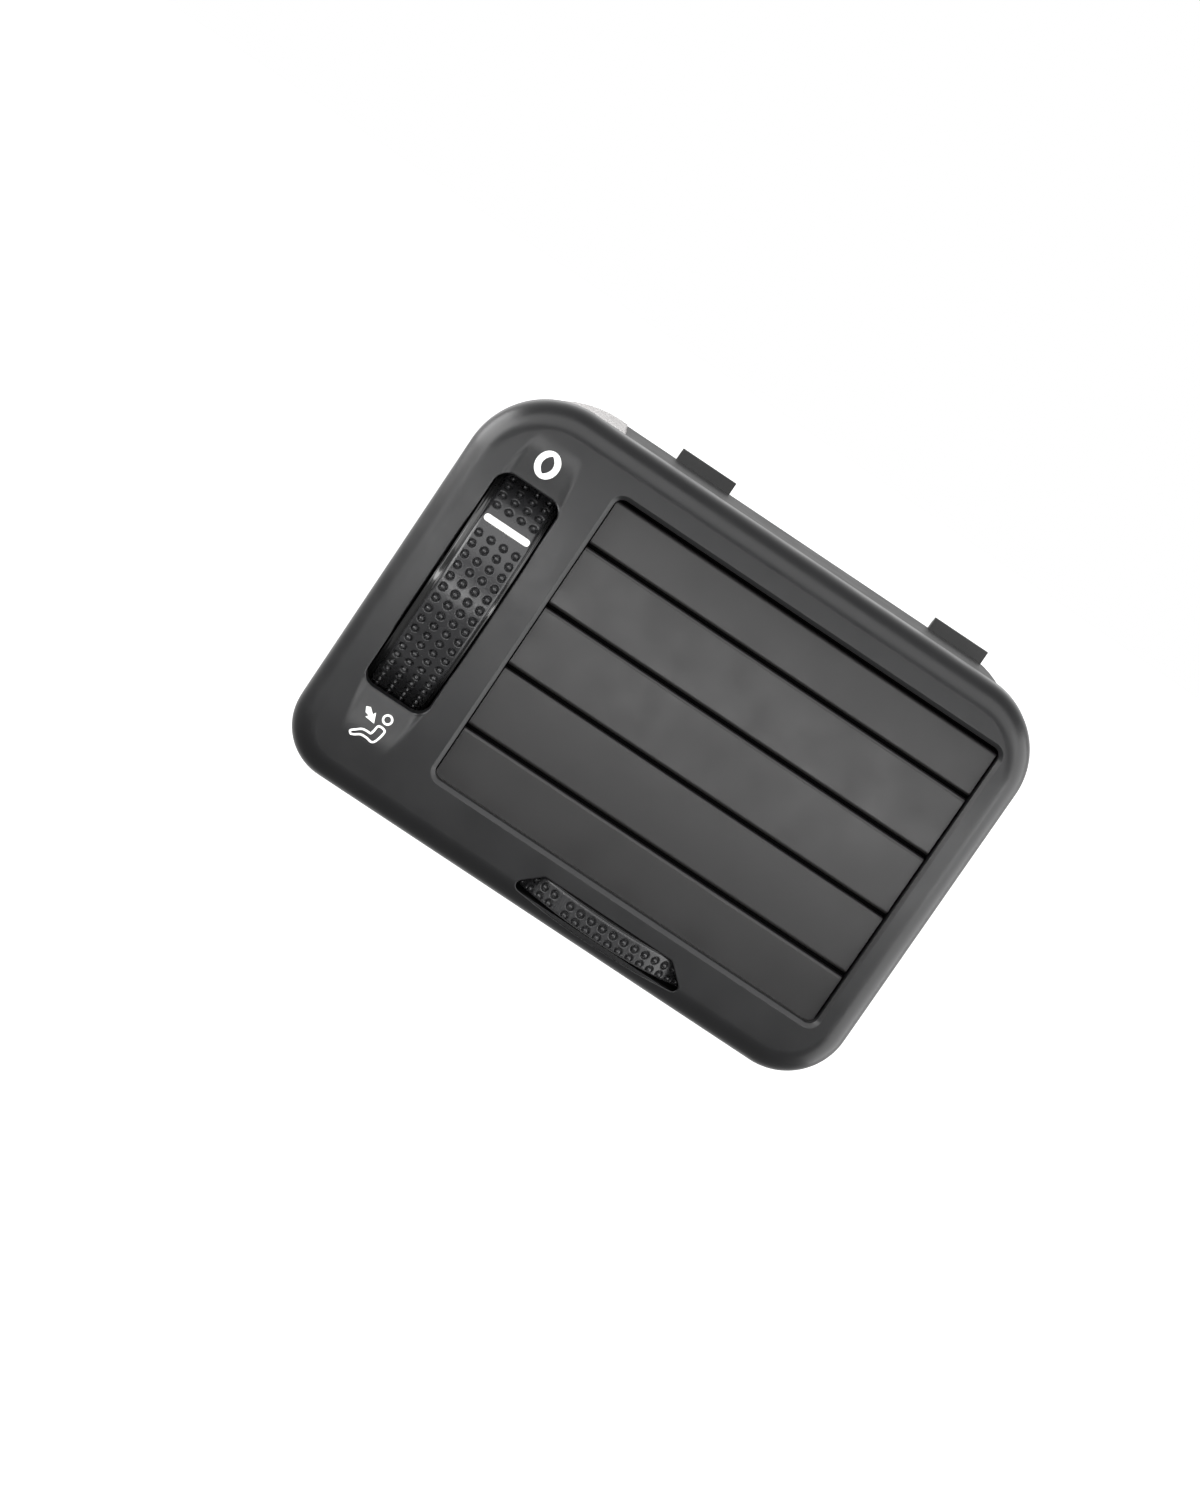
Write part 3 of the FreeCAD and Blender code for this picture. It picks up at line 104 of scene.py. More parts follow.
class VentColours(bpy.types.PropertyGroup):
    """Base colours of the finishes."""

    bezel: bpy.props.FloatVectorProperty(
        name="Bezel", description="Grained plastic of the bezel", subtype="COLOR", size=3, min=0, max=1,
        default=(0.008, 0.008, 0.0085))
    slats: bpy.props.FloatVectorProperty(
        name="Slats", description="Smooth plastic of the slats", subtype="COLOR", size=3, min=0, max=1,
        default=(0.0092, 0.0087, 0.0088))
    housing: bpy.props.FloatVectorProperty(
        name="Housing", description="Plain moulded plastic of the housing", subtype="COLOR", size=3, min=0,
        max=1, default=(0.03, 0.03, 0.03))
    rubber: bpy.props.FloatVectorProperty(
        name="Grips", description="Soft rubber of both grips", subtype="COLOR", size=3, min=0, max=1,
        default=(0.018, 0.018, 0.019))
    gloss: bpy.props.FloatVectorProperty(
        name="Wheel cores", description="Glossy plastic of the wheel cores", subtype="COLOR", size=3, min=0,
        max=1, default=(0.012, 0.012, 0.012))
    white: bpy.props.FloatVectorProperty(
        name="Marks", description="White of the marker bar and the printed symbols", subtype="COLOR", size=3,
        min=0, max=1, default=(0.86, 0.86, 0.84))
    foam: bpy.props.FloatVectorProperty(
        name="Foam", description="Open foam of the duct seal", subtype="COLOR", size=3, min=0, max=1,
        default=(0.03, 0.03, 0.032))
    felt: bpy.props.FloatVectorProperty(
        name="Felt", description="Felt pad on the shell's corner", subtype="COLOR", size=3, min=0, max=1,
        default=(0.2, 0.185, 0.18))


class VentStage(bpy.types.PropertyGroup):
    """Where the camera stands and how strong the lights are."""

    azimuth: bpy.props.FloatProperty(
        name="Azimuth", description="Camera's turn to the right of the vent", default=math.radians(-4.0),
        subtype="ANGLE")
    elevation: bpy.props.FloatProperty(
        name="Elevation", description="Camera's height angle", default=math.radians(8.5), subtype="ANGLE")
    roll: bpy.props.FloatProperty(
        name="Roll", description="How far the picture is turned clockwise", default=math.radians(34.2),
        subtype="ANGLE")
    distance: bpy.props.FloatProperty(
        name="Distance", description="Camera's distance from the vent", default=1.1, unit="LENGTH", min=0.3)
    lens: bpy.props.FloatProperty(
        name="Lens", description="Focal length in mm on a 36 mm sensor", default=114.6, min=20, max=300)
    front: bpy.props.FloatProperty(
        name="Front light", description="Power of the long soft strip in front", default=0.8, min=0, unit="POWER")
    high: bpy.props.FloatProperty(
        name="High light", description="Power of the soft light in front and above", default=1.9, min=0,
        unit="POWER")
    left: bpy.props.FloatProperty(
        name="Left light", description="Power of the soft light at the upper left", default=1.4, min=0,
        unit="POWER")
    right: bpy.props.FloatProperty(
        name="Right light", description="Power of the soft light at the right", default=1.9, min=0, unit="POWER")
    ambient: bpy.props.FloatProperty(
        name="Ambient", description="Strength of the light from all round, at the top", default=0.46, min=0)


# Surfaces

def rounded_polygon(corners, radii, inset=0.0, arc=12, side=4):
    """Outline of a polygon, counter-clockwise, with round corners and moved inwards by an inset.

    Each corner's arc has its centre one radius inside both sides that meet there, and its radius less the
    inset. The runs between the arcs are divided evenly, or at the shares listed for each side.
    """
    corners = np.asarray(corners, float)
    before, after = corners - np.roll(corners, 1, 0), np.roll(corners, -1, 0) - corners
    before /= np.linalg.norm(before, axis=1, keepdims=True)
    after /= np.linalg.norm(after, axis=1, keepdims=True)
    turn = np.arctan2(before[:, 0] * after[:, 1] - before[:, 1] * after[:, 0], (before * after).sum(1))
    radii = np.broadcast_to(np.asarray(radii, float), len(corners))
    inward = np.stack([-before[:, 1], before[:, 0]], 1)
    centres = corners - before * (radii * np.tan(turn / 2))[:, None] + inward * radii[:, None]
    first = np.arctan2(-inward[:, 1], -inward[:, 0])
    angles = first[:, None] + turn[:, None] * np.linspace(0, 1, arc + 1)
    reach = (radii - inset)[:, None, None]
    arcs = centres[:, None] + reach * np.stack([np.cos(angles), np.sin(angles)], -1)
    shares = [np.arange(1, side + 1) / (side + 1)] * len(corners) if isinstance(side, int) else side
    pieces = []
    for here, there, share in zip(arcs, np.roll(arcs, -1, 0), shares):
        pieces += [here, here[-1] + (there[0] - here[-1]) * share[:, None]]
    return np.concatenate(pieces)


def rectangle(x0, x1, z0, z1):
    """Corners of an upright rectangle, counter-clockwise from the low left."""
    return [(x0, z0), (x1, z0), (x1, z1), (x0, z1)]


def lift(outline, y):
    """Puts a flat outline of (x, z) at depth y, which is one number or one for each point."""
    return np.stack([outline[:, 0], np.broadcast_to(y, len(outline)), outline[:, 1]], 1)


def grid_faces(rows, columns, close_rows=False, close_columns=False):
    """Quads of a grid of points in row order, closed round either way."""
    row = np.arange(rows if close_rows else rows - 1)
    column = np.arange(columns if close_columns else columns - 1)
    row, column = np.meshgrid(row, column, indexing="ij")
    next_row, next_column = (row + 1) % rows, (column + 1) % columns
    quads = [row * columns + column, row * columns + next_column,
             next_row * columns + next_column, next_row * columns + column]
    return np.stack(quads, -1).reshape(-1, 4)


def band(rings, close_rows=False):
    """A closed band through rings with like counts of points, joined end to end if its rows close too."""
    rings = np.asarray(rings)
    return rings.reshape(-1, 3), grid_faces(*rings.shape[:2], close_rows, close_columns=True)


def capped(rings):
    """A band whose end rings are closed by fans to their middles."""
    first, last = (np.broadcast_to(rings[end].mean(0), rings[end].shape) for end in (0, -1))
    return band([first, *rings, last])


def fill(*loops):
    """Triangles between a flat outline and its holes."""
    return np.array(tessellate_polygon([np.column_stack([loop, np.zeros(len(loop))]).tolist() for loop in loops]))


def plate(y, *loops):
    """A flat plate at depth y between an outline and its holes."""
    return np.concatenate([lift(loop, y) for loop in loops]), fill(*loops)


def quarter(steps):
    """Sine and one less cosine over a quarter turn."""
    turn = np.linspace(0, math.pi / 2, steps + 1)
    return np.sin(turn), 1 - np.cos(turn)


def eased(count):
    """Shares from 0 to 1 that lie closer together towards both ends."""
    return (1 - np.cos(np.linspace(0, math.pi, count))) / 2


def full_turn(count):
    """Angles evenly round a full turn."""
    return np.linspace(0, 2 * math.pi, count, endpoint=False)


def smooth_min(one, other, width):
    """The lower of two values, blended where they are closer than the width."""
    share = np.clip(0.5 + 0.5 * (other - one) / width, 0, 1)
    return other * (1 - share) + one * share - width * share * (1 - share)


# Points of neighbouring patches that are closer than this, in metres, become one
MERGE = 2e-6


def build(name, patches, material, body, sharp=35, replaces=()):
    """Joins patches into one closed object in metres, rides it on a body and gives it its finish."""
    points = np.concatenate([patch[0] for patch in patches]) * MM
    starts = np.cumsum([0] + [len(patch[0]) for patch in patches])
    faces = [(patch[1] + start).tolist() for patch, start in zip(patches, starts)]
    mesh = bpy.data.meshes.new(name)
    mesh.from_pydata(points, [], sum(faces, []))
    work = bmesh.new()
    work.from_mesh(mesh)
    bmesh.ops.remove_doubles(work, verts=work.verts, dist=MERGE)
    bmesh.ops.dissolve_degenerate(work, edges=work.edges, dist=MERGE / 20)
    bmesh.ops.recalc_face_normals(work, faces=work.faces)
    work.to_mesh(mesh)
    work.free()
    mesh.shade_smooth()
    mesh.set_sharp_from_angle(angle=math.radians(sharp))
    mesh.materials.append(material)
    piece = bpy.data.objects.new(name, mesh)
    bpy.context.scene.collection.objects.link(piece)
    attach(piece, body)
    if replaces:
        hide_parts(*replaces)
    return piece


# Finishes

# Where most of a noise's values lie
NOISE_MIDDLE = (0.3, 0.7)
# Inputs for the first and second value, and the output, of a mix node
MIX_SOCKETS = {"RGBA": (6, 7, 2), "FLOAT": (2, 3, 0)}


def feed(node, values):
    """Feeds a node's inputs, by name or number, from other nodes' outputs or with constants."""
    for name, value in values.items():
        if isinstance(value, bpy.types.NodeSocket):
            node.id_data.links.new(value, node.inputs[name])
        else:
            node.inputs[name].default_value = value


def add_node(beside, kind, values):
    """A new node in the tree of another node or socket, with its inputs fed."""
    node = beside.id_data.nodes.new("ShaderNode" + kind)
    feed(node, values)
    return node


def finish_nodes(name):
    """A fresh material with its shader and object coordinates."""
    material = bpy.data.materials.new(name)
    material.use_nodes = True
    shader = material.node_tree.nodes["Principled BSDF"]
    return material, shader, add_node(shader, "TexCoord", {}).outputs["Object"]


def noise(place, size_mm, detail, rough=0.5):
    """A noise whose patches are about one size across."""
    return add_node(place, "TexNoise", {"Vector": place, "Scale": 1 / (size_mm * MM), "Detail": detail,
                                        "Roughness": rough}).outputs["Fac"]


def map_range(value, start, stop, low=0.0, high=1.0):
    """Maps a value that goes from start to stop to one that goes from low to high."""
    return add_node(value, "MapRange", {"Value": value, "From Min": start, "From Max": stop, "To Min": low,
                                        "To Max": high}).outputs["Result"]


def spread(value, low, high):
    """Maps a noise's middle range to low and high."""
    return map_range(value, *NOISE_MIDDLE, low, high)


def shades(value, colour, light, dark):
    """A colour that a noise moves between a darker and a lighter shade."""
    node = add_node(value, "ValToRGB", {"Fac": value})
    for element, position, shade in zip(node.color_ramp.elements, NOISE_MIDDLE, (dark, light)):
        element.position = position
        element.color = (*[min(1, part * shade) for part in colour], 1)
    return node.outputs["Color"]


def bump(value, depth_mm, under=None, strength=1.0, invert=False):
    """A bump of a given depth, laid over another one if there is one."""
    node = add_node(value, "Bump", {"Height": value, "Strength": strength, "Distance": depth_mm * MM})
    node.invert = invert
    if under:
        feed(node, {"Normal": under})
    return node.outputs["Normal"]


def painted_shade_zone(shader, place, start_mm, stop_mm):
    """Painted shade: makes a moulding black, fully rough and almost without specular from one depth to another
    and beyond, where its parts behind the gaps lie in shadow.
    """
    mask = map_range(add_node(place, "SeparateXYZ", {0: place}).outputs["Y"], start_mm * MM, stop_mm * MM)
    # The near-black colour is painted shade; roughness and specular go with it
    for name, kind, shaded in (("Base Color", "RGBA", (0.002, 0.002, 0.002, 1)), ("Roughness", "FLOAT", 1.0),
                             ("Specular IOR Level", "FLOAT", 0.02)):
        socket = shader.inputs[name]
        shown, hidden, result = MIX_SOCKETS[kind]
        mix = add_node(place, "Mix", {})
        mix.data_type = kind
        feed(mix, {0: mask, hidden: shaded,
                   shown: socket.links[0].from_socket if socket.is_linked else socket.default_value})
        feed(shader, {name: mix.outputs[result]})


def moulded(name, colour, rough, grain_mm, depth_mm, mottle=0.06, specular=0.4, painted_shade=None):
    """Moulded plastic: fine grain over a slight waviness, faint mottling in colour, and uneven roughness; where a
    depth zone is given, painted shade turns it black.
    """
    material, shader, place = finish_nodes(name)
    grain = bump(noise(place, grain_mm, 2, 0.6), depth_mm)
    feed(shader, {"Base Color": shades(noise(place, 22, 4), colour, 1 + mottle, 1 - mottle),
                  "Roughness": spread(noise(place, 9, 5), rough - 0.04, rough + 0.05),
                  "Normal": bump(noise(place, grain_mm * 14, 2), depth_mm * 2, grain),
                  "Specular IOR Level": specular})
    if painted_shade:
        painted_shade_zone(shader, place, *painted_shade)
    return material


def rubber(name, colour, rough):
    """Soft rubber: dark, with a faint sheen and a finely pitted skin."""
    material, shader, place = finish_nodes(name)
    feed(shader, {"Base Color": shades(noise(place, 6, 4), colour, 1.15, 0.85),
                  "Roughness": spread(noise(place, 3, 4), rough - 0.05, rough + 0.07),
                  "Normal": bump(noise(place, 0.45, 3, 0.7), 0.035),
                  "Sheen Weight": 0.05, "Sheen Roughness": 0.4})
    return material


def foam(name, colour):
    """Open-cell foam: small round cells, raised in the middle, with painted shade darkening the sunk seams
    between them.
    """
    material, shader, place = finish_nodes(name)
    cells = add_node(place, "TexVoronoi", {"Vector": place, "Scale": 1 / (0.7 * MM)}).outputs["Distance"]
    # Painted shade: the colour darkens from the cells' middles towards their sunk seams
    feed(shader, {"Base Color": shades(cells, colour, 0.5, 1.5),
                  "Normal": bump(cells, 0.25, bump(noise(place, 4, 3), 0.3), 0.8, invert=True),
                  "Roughness": 0.95, "Sheen Weight": 0.2})
    return material


def felt(name, colour):
    """Pressed felt: matted fibres as stretched noise in two directions, with a soft sheen."""
    material, shader, place = finish_nodes(name)
    turned = [add_node(place, "Mapping", {"Vector": place, "Rotation": (turn, 0.4, turn * 1.7),
                                          "Scale": (1, 0.2, 1)}).outputs["Vector"] for turn in (0.5, 2.1)]
    first, second = (noise(vector, 0.5, 4, 0.65) for vector in turned)
    feed(shader, {"Base Color": shades(first, colour, 1.2, 0.75),
                  "Normal": bump(second, 0.12, bump(first, 0.12)),
                  "Roughness": 0.9, "Sheen Weight": 0.35, "Sheen Roughness": 0.5})
    return material


def steel(name):
    """Turned steel pin: a fine grain, and low roughness that varies a little."""
    material, shader, place = finish_nodes(name)
    feed(shader, {"Base Color": shades(noise(place, 3, 4), (0.5, 0.5, 0.5), 1.1, 0.85), "Metallic": 1.0,
                  "Roughness": spread(noise(place, 1.5, 4), 0.28, 0.4),
                  "Normal": bump(noise(place, 0.2, 2), 0.004)})
    return material


def enamel(name, colour):
    """White print or insert: even, slightly satin, with a faint orange peel."""
    material, shader, place = finish_nodes(name)
    feed(shader, {"Base Color": shades(noise(place, 2, 4), colour, 1.02, 0.94), "Roughness": 0.45,
                  "Normal": bump(noise(place, 0.4, 2), 0.006)})
    return material


def dress(material, *nodes):
    """Gives CAD nodes a finish through their own material slots."""
    for name in nodes:
        for slot in frame["nodes"][name].material_slots:
            slot.material = material


# The bezel

# Depths of the face, of the plate's back, and of the walls behind both slots
FACE, PLATE_BACK, BLOCK_BACK, SKIN_BACK = FACE_LOW[1], -8.0, -5.4, -10.2
# Corner radii from the low left on, counter-clockwise, and the steps of their arcs
BORDER_CORNERS = (13.5, 16, 18.5, 20.5)
BORDER_ARC = 28
# The skirt's section (inwards, depth): round its rim, up inside the rim's step, and along its inner wall
SKIRT = [(0, -0.25), (0.07, -0.07), (0.25, 0), (0.85, 0), (1, -0.15), (1, -3), (2.2, -3), (2.2, -7.2)]
# The slat wheel's slot, the face's patch round it and the block behind the plate: reach left, right and up
SLOT_CENTRE = FLOW_AXIS[[0, 2]]
SLOT, PATCH, BLOCK = (rectangle(SLOT_CENTRE[0] - left, SLOT_CENTRE[0] + right, SLOT_CENTRE[1] - up,
                                SLOT_CENTRE[1] + up)
                      for left, right, up in ((8.45, 8.45, 29.4), (9.6, 12.6, 42.3), (11.65, 11.65, 43.6)))
SLOT_CORNER, PATCH_CORNER = 3.5, 8.5
# Where the scoops end above and below the slot's middle, their slope, depth and half the floor's width
SCOOP_REACH, SCOOP_SLOPE, SCOOP_DEPTH, SCOOP_FLOOR = 39.2, 0.15, 1.7, 6.4
SCOOP_WALL = math.tan(math.radians(42))
# The outlet and its lip
OUTLET, OUTLET_CORNER = rectangle(-39.8, 66.1, -36.8, 40.9), 2.3
LIP_WIDE, LIP_TILT, LIP_SOFT = 1.2, math.radians(35), 0.4
# The vane wheel's slot, the relief behind it, and how its lower edge bulges down in the middle
SWING_X = SWING_AXIS[0]
LOW_SLOT = [(SWING_X - 24.36, -48), (SWING_X + 24.36, -48), (SWING_X + 17.61, -42), (SWING_X - 17.61, -42)]
LOW_EDGE, LOW_CORNER = 0.25, 1.2
LOW_RELIEF = rectangle(SWING_X - 24.8, SWING_X + 24.8, -48.4, -41.6)
LOW_BULGE, BULGE_HALF, BULGE_FROM, BULGE_FADE = 1.5, 23, -45.5, 2.5
# The notch in face and border that the low slot's patch fills, and its share of the border's points
NOTCH_LEFT, NOTCH_RIGHT, NOTCH_TOP = SWING_X - 26.5, SWING_X + 26.5, -40.5
NOTCH_ROW, NOTCH_START, NOTCH_POINTS = 11, BORDER_ARC + 1, 57
NOTCH_STOP = NOTCH_START + NOTCH_POINTS - 1
# Where the snap tongues stand and half their width
TONGUES, TONGUE_HALF = (-44.6, -39.2, 48.8), 2


def flat_points(x, z):
    """Points (x, z), where either may be one number for all."""
    return np.column_stack(np.broadcast_arrays(x, z))


def scoop_depth(points, soft):
    """How far the face is scooped in at points (x, z).

    The floor slopes down along z towards the slot, to its full depth; walls rise from its sides. The
    shallower of the two holds, and all creases are blended over a soft width.
    """
    x, z = np.abs(points - SLOT_CENTRE).T
    floor = smooth_min((SCOOP_REACH - z) * SCOOP_SLOPE, SCOOP_DEPTH, 0.5)
    wall = floor - (x - SCOOP_FLOOR) * SCOOP_WALL
    sunk = smooth_min(floor, wall, soft)
    return -smooth_min(-sunk, 0.0, soft * 0.4)


def slot_patch(sizes):
    """The face round the wheel's slot: rings between a flat outer outline and the slot's own edge.

    Each ring is the outer outline moved a share of the way to the slot's outline, at the scoops' depth. The
    edge then rolls in over a quarter circle and runs straight back through the block behind the plate.
    """
    counts = {"arc": 24, "side": 22}
    edge = sizes.edge_round
    outer = rounded_polygon(PATCH, PATCH_CORNER, **counts)
    inner = rounded_polygon(SLOT, SLOT_CORNER, -edge, **counts)
    shares = np.linspace(0, 1, 64) ** 0.8
    flats = [outer * (1 - share) + inner * share for share in shares]
    rings = [lift(flat, FACE + scoop_depth(flat, sizes.scoop_soft) * (share > 0)) for flat, share in
             zip(flats, shares)]
    lip = rings[-1][:, 1]
    for out, back in zip(*quarter(6)):
        rings.append(lift(rounded_polygon(SLOT, SLOT_CORNER, edge * (out - 1), **counts), lip + edge * back))
    hole = rounded_polygon(SLOT, SLOT_CORNER, **counts)
    rings.append(lift(hole, BLOCK_BACK))
    return rings, outer, hole


def border_rings(sizes):
    """The face's outline out over a quarter ellipse, back along the skirt and inside it to the plate's back."""
    corners = rectangle(FACE_LOW[0], FACE_HIGH[0], FACE_LOW[2], FACE_HIGH[2])
    section = [(sizes.border_wide + 0.06, FACE)]
    out, back = quarter(22)
    section += list(zip(sizes.border_wide * (1 - out), FACE + sizes.border_deep * back))
    wall, fillet = SKIRT[-1][0], SKIRT[-1][1] - PLATE_BACK
    out, back = quarter(5)
    section += SKIRT + list(zip(wall + fillet * back, PLATE_BACK + fillet * (1 - out)))
    even = np.arange(1, 7) / 7
    run_left, run_right = FACE_LOW[0] + BORDER_CORNERS[0], FACE_HIGH[0] - BORDER_CORNERS[1]
    places = NOTCH_LEFT + (NOTCH_RIGHT - NOTCH_LEFT) * eased(NOTCH_POINTS)
    low_run = (places - run_left) / (run_right - run_left)
    flats = [rounded_polygon(corners, BORDER_CORNERS, inset, BORDER_ARC, [low_run, even, even, even])
             for inset, _ in section]
    return [lift(flat, y) for flat, (_, y) in zip(flats, section)], flats[0], flats[-1]


def roll_depth(z, sizes):
    """Depth of the face at a height: flat, then falling away over the border's quarter ellipse."""
    into = np.clip(1 - (z - FACE_LOW[2]) / sizes.border_wide, 0, 1)
    return FACE + sizes.border_deep * (1 - np.sqrt(1 - into ** 2))


def along_sides(loop, starts, shares):
    """Points of a closed outline at shares of the way between the points where its sides start."""
    pieces = []
    for start, stop, share in zip(starts, [*starts[1:], starts[0] + len(loop)], shares):
        side = loop[np.arange(start, stop + 1) % len(loop)]
        length = np.concatenate([[0], np.cumsum(np.linalg.norm(np.diff(side, axis=0), axis=1))])
        place = share * length[-1]
        pieces.append(np.column_stack([np.interp(place, length, side[:, axis]) for axis in (0, 1)])[1:])
    return np.concatenate(pieces)


def low_patch(border, sizes):
    """The face round the vane wheel's slot, which reaches down into the rolled border.

    It fills a notch in the face and in the border's first rows. Its rings go from the notch's outline to the
    slot's own, and every point lies on the face or on the border's roll; then the edge rolls in.
    """
    places = border[0][NOTCH_START:NOTCH_STOP + 1, 0]
    rows = np.array([border[row][NOTCH_START, 2] for row in range(NOTCH_ROW, -1, -1)])
    flat = np.linspace(rows[-1], NOTCH_TOP, 6)
    up = np.concatenate([rows, flat[1:]])
    top = flat_points(places[::-1], NOTCH_TOP)
    sides = [flat_points(places, up[0]), flat_points(NOTCH_RIGHT, up), top, flat_points(NOTCH_LEFT, up[::-1])]
    notch = np.concatenate([side[1:] for side in sides])
    arc, run = 16, 60
    starts = [arc // 2 + (arc + 1 + run) * corner for corner in range(4)]
    shares = [eased(len(side)) for side in sides]

    def slot(inset):
        loop = rounded_polygon(LOW_SLOT, LOW_CORNER, inset, arc, run)
        bulge = np.clip(1 - ((loop[:, 0] - SWING_X) / BULGE_HALF) ** 2, 0, 1)
        loop[:, 1] -= LOW_BULGE * bulge * np.clip((BULGE_FROM - loop[:, 1]) / BULGE_FADE, 0, 1)
        return along_sides(loop, starts, shares)

    flats = [notch * (1 - share) + slot(-LOW_EDGE) * share for share in np.linspace(0, 1, 16)]
    rings = [lift(loop, roll_depth(loop[:, 1], sizes)) for loop in flats]
    lip = rings[-1][:, 1]
    rings += [lift(slot(LOW_EDGE * (out - 1)), lip + LOW_EDGE * back) for out, back in zip(*quarter(5))]
    hole = slot(0)
    rings.append(lift(hole, SKIN_BACK))
    step = np.concatenate([flat_points(NOTCH_LEFT, flat[1:]), top[::-1][1:],
                           flat_points(NOTCH_RIGHT, flat[-2:0:-1])])
    return rings, step, hole


def notched_band(rings):
    """The border's band without the quads of its first rows that the low slot's patch fills."""
    points, faces = band(rings)
    faces = faces.reshape(len(rings) - 1, -1, 4)
    kept = np.ones(faces.shape[:2], bool)
    kept[:NOTCH_ROW, NOTCH_START:NOTCH_STOP] = False
    return points, faces[kept]


def soft_chamfer(wide, tilt, soft, steps):
    """Soft-edged chamfer's section as (inwards, back) from the face: arc, straight run at the tilt, arc."""
    turns = np.concatenate([np.linspace(0, tilt, steps), np.linspace(tilt, math.pi / 2, steps)])
    section = soft * np.column_stack([np.sin(turns), 1 - np.cos(turns)])
    section[steps:] += (wide - soft) * np.array([1, math.tan(tilt)])
    return section


def outlet_rings():
    """The outlet's edge: its outline set out past the lip's width, chamfered in and run straight back."""
    outer = rounded_polygon(OUTLET, OUTLET_CORNER, -LIP_WIDE - 0.1)
    hole = rounded_polygon(OUTLET, OUTLET_CORNER)
    rings = [lift(outer, FACE)]
    for out, deep in soft_chamfer(LIP_WIDE, LIP_TILT, LIP_SOFT, 6):
        rings.append(lift(rounded_polygon(OUTLET, OUTLET_CORNER, out - LIP_WIDE), FACE + deep))
    rings.append(lift(hole, PLATE_BACK))
    return rings, outer, hole


def tongue(across):
    """A snap tongue behind the plate: its side outline (y, z) with a sloped hook, at its full width."""
    side = np.array([(-8.6, 48), (9.15, 48), (9.15, 49.3), (7.55, 50.6), (6.25, 50.6), (6.25, 49.3),
                     (-8.6, 49.3)])
    count = len(side)
    walls = [np.column_stack([np.full(count, across + half), side]) for half in (-TONGUE_HALF, TONGUE_HALF)]
    points, faces = band(walls)
    return [(points, faces), (points, fill(side)), (points, fill(side) + count)]


class VENT_OT_bezel(bpy.types.Operator):
    """Models the bezel as one shell with a rolled border, finger scoops, soft edges and snap tongues"""
    bl_idname = "vent.bezel"
    bl_label = "Bezel"

    def execute(self, context):
        sizes, colours = context.scene.vent_sizes, context.scene.vent_colours
        slot_rings, slot_outer, slot_hole = slot_patch(sizes)
        border, face_outline, back_outline = border_rings(sizes)
        outlet, outlet_outer, outlet_hole = outlet_rings()
        low, step, low_hole = low_patch(border, sizes)
        face = np.concatenate([face_outline[:NOTCH_START + 1], step, face_outline[NOTCH_STOP:]])
        block = rounded_polygon(BLOCK, SLOT_CORNER)
        relief = rounded_polygon(LOW_RELIEF, 0.8)
        patches = [band(slot_rings), notched_band(border), band(outlet), band(low),
                   plate(FACE, face, slot_outer, outlet_outer),
                   plate(PLATE_BACK, back_outline, block, outlet_hole, relief),
                   band([lift(block, PLATE_BACK), lift(block, BLOCK_BACK)]),
                   plate(BLOCK_BACK, block, slot_hole),
                   band([lift(relief, PLATE_BACK), lift(relief, SKIN_BACK)]),
                   plate(SKIN_BACK, relief, low_hole), *sum(map(tongue, TONGUES), [])]
        skin = moulded("bezel_grain", colours.bezel, rough=0.33, grain_mm=0.16, depth_mm=0.006)
        build("bezel_shell", patches, skin, "vent_body", replaces=["bezel"])
        return {"FINISHED"}


# The wheels

# Shares of a dot's rise in its dome and its moat, and the share of its radius where the moat starts
DOME, MOAT, MOAT_START = 0.7, 0.8, 0.55
# How far the tyres and the marker bar lie inside the CAD's radius, so that dots and bar stay within it
FLOW_SINK, SWING_SINK, MARKER_SINK = 0.5, 0.4, 0.3
# Slat wheel: the dots' columns by pitch in mm, their rows by degrees from the marker bar, the bar's turn
FLOW_PITCH, FLOW_ROWS, MARK_TURN = 3.38, (5.0, 6.9, 171.9), 31.5
# Its finely stepped, dotted arc and the plain rest, in degrees up from straight ahead
DOTTED_ARC, PLAIN_ARC = (-64, 144), (150, 290)
# Its beads: how far their middles lie inside the grip's radius, and half their height
BEAD_SINK, BEAD_HALF = 1.8, 0.62
# The marker bar's flat outline and its domed section (drawn in, height)
MARKER, MARKER_CORNER = rectangle(FLOW_LOW[0] + 0.75, FLOW_HIGH[0] - 0.65, -0.95, 0.95), 0.85
MARKER_DOME = ((0, -0.9), (0, 0.0), (0.06, 0.12), (0.18, 0.19), (0.42, 0.2))
# Vane wheel: half the fan's angle and its turn at rest, rows by mm, columns by degrees from the index bar
FAN_HALF, FAN_TURN = 71.8, -20.6
SWING_PITCH, SWING_SHIFT, SWING_COLUMNS = 2.5, -0.55, (5.3, 4.2, 68)
BAR_HALF, BAR_FALL, BAR_RISE = 1.9, 1.15, 0.16


def smooth_step(share):
    """Goes from 0 to 1 and starts and ends level."""
    return share * share * (3 - 2 * share)


def dots(across, along, sizes):
    """Height of a grip dot at a distance (across, along) from its middle.

    The height is rise (DOME s(1 - (r / radius)^2) - MOAT m), with s the smooth step and m one cosine wave
    from under the dome's flank to the moat's radius.
    """
    away = np.hypot(across, along)
    dome = np.clip(1 - (away / sizes.dot_radius) ** 2, 0, 1)
    start = sizes.dot_radius * MOAT_START
    ring = np.clip((away - start) / (sizes.moat_radius - start), 0, 1)
    moat = 0.5 - 0.5 * np.cos(2 * math.pi * ring)
    return sizes.dot_rise * (DOME * smooth_step(dome) - MOAT * moat)


def round_axis(x, reach, angles):
    """Points about the slat wheel's axis: (x, axis y - reach cos angle, axis z + reach sin angle)."""
    x, reach, angles = np.broadcast_arrays(x, reach, angles)
    return np.stack([x, FLOW_AXIS[1] - reach * np.cos(angles), FLOW_AXIS[2] + reach * np.sin(angles)], -1)


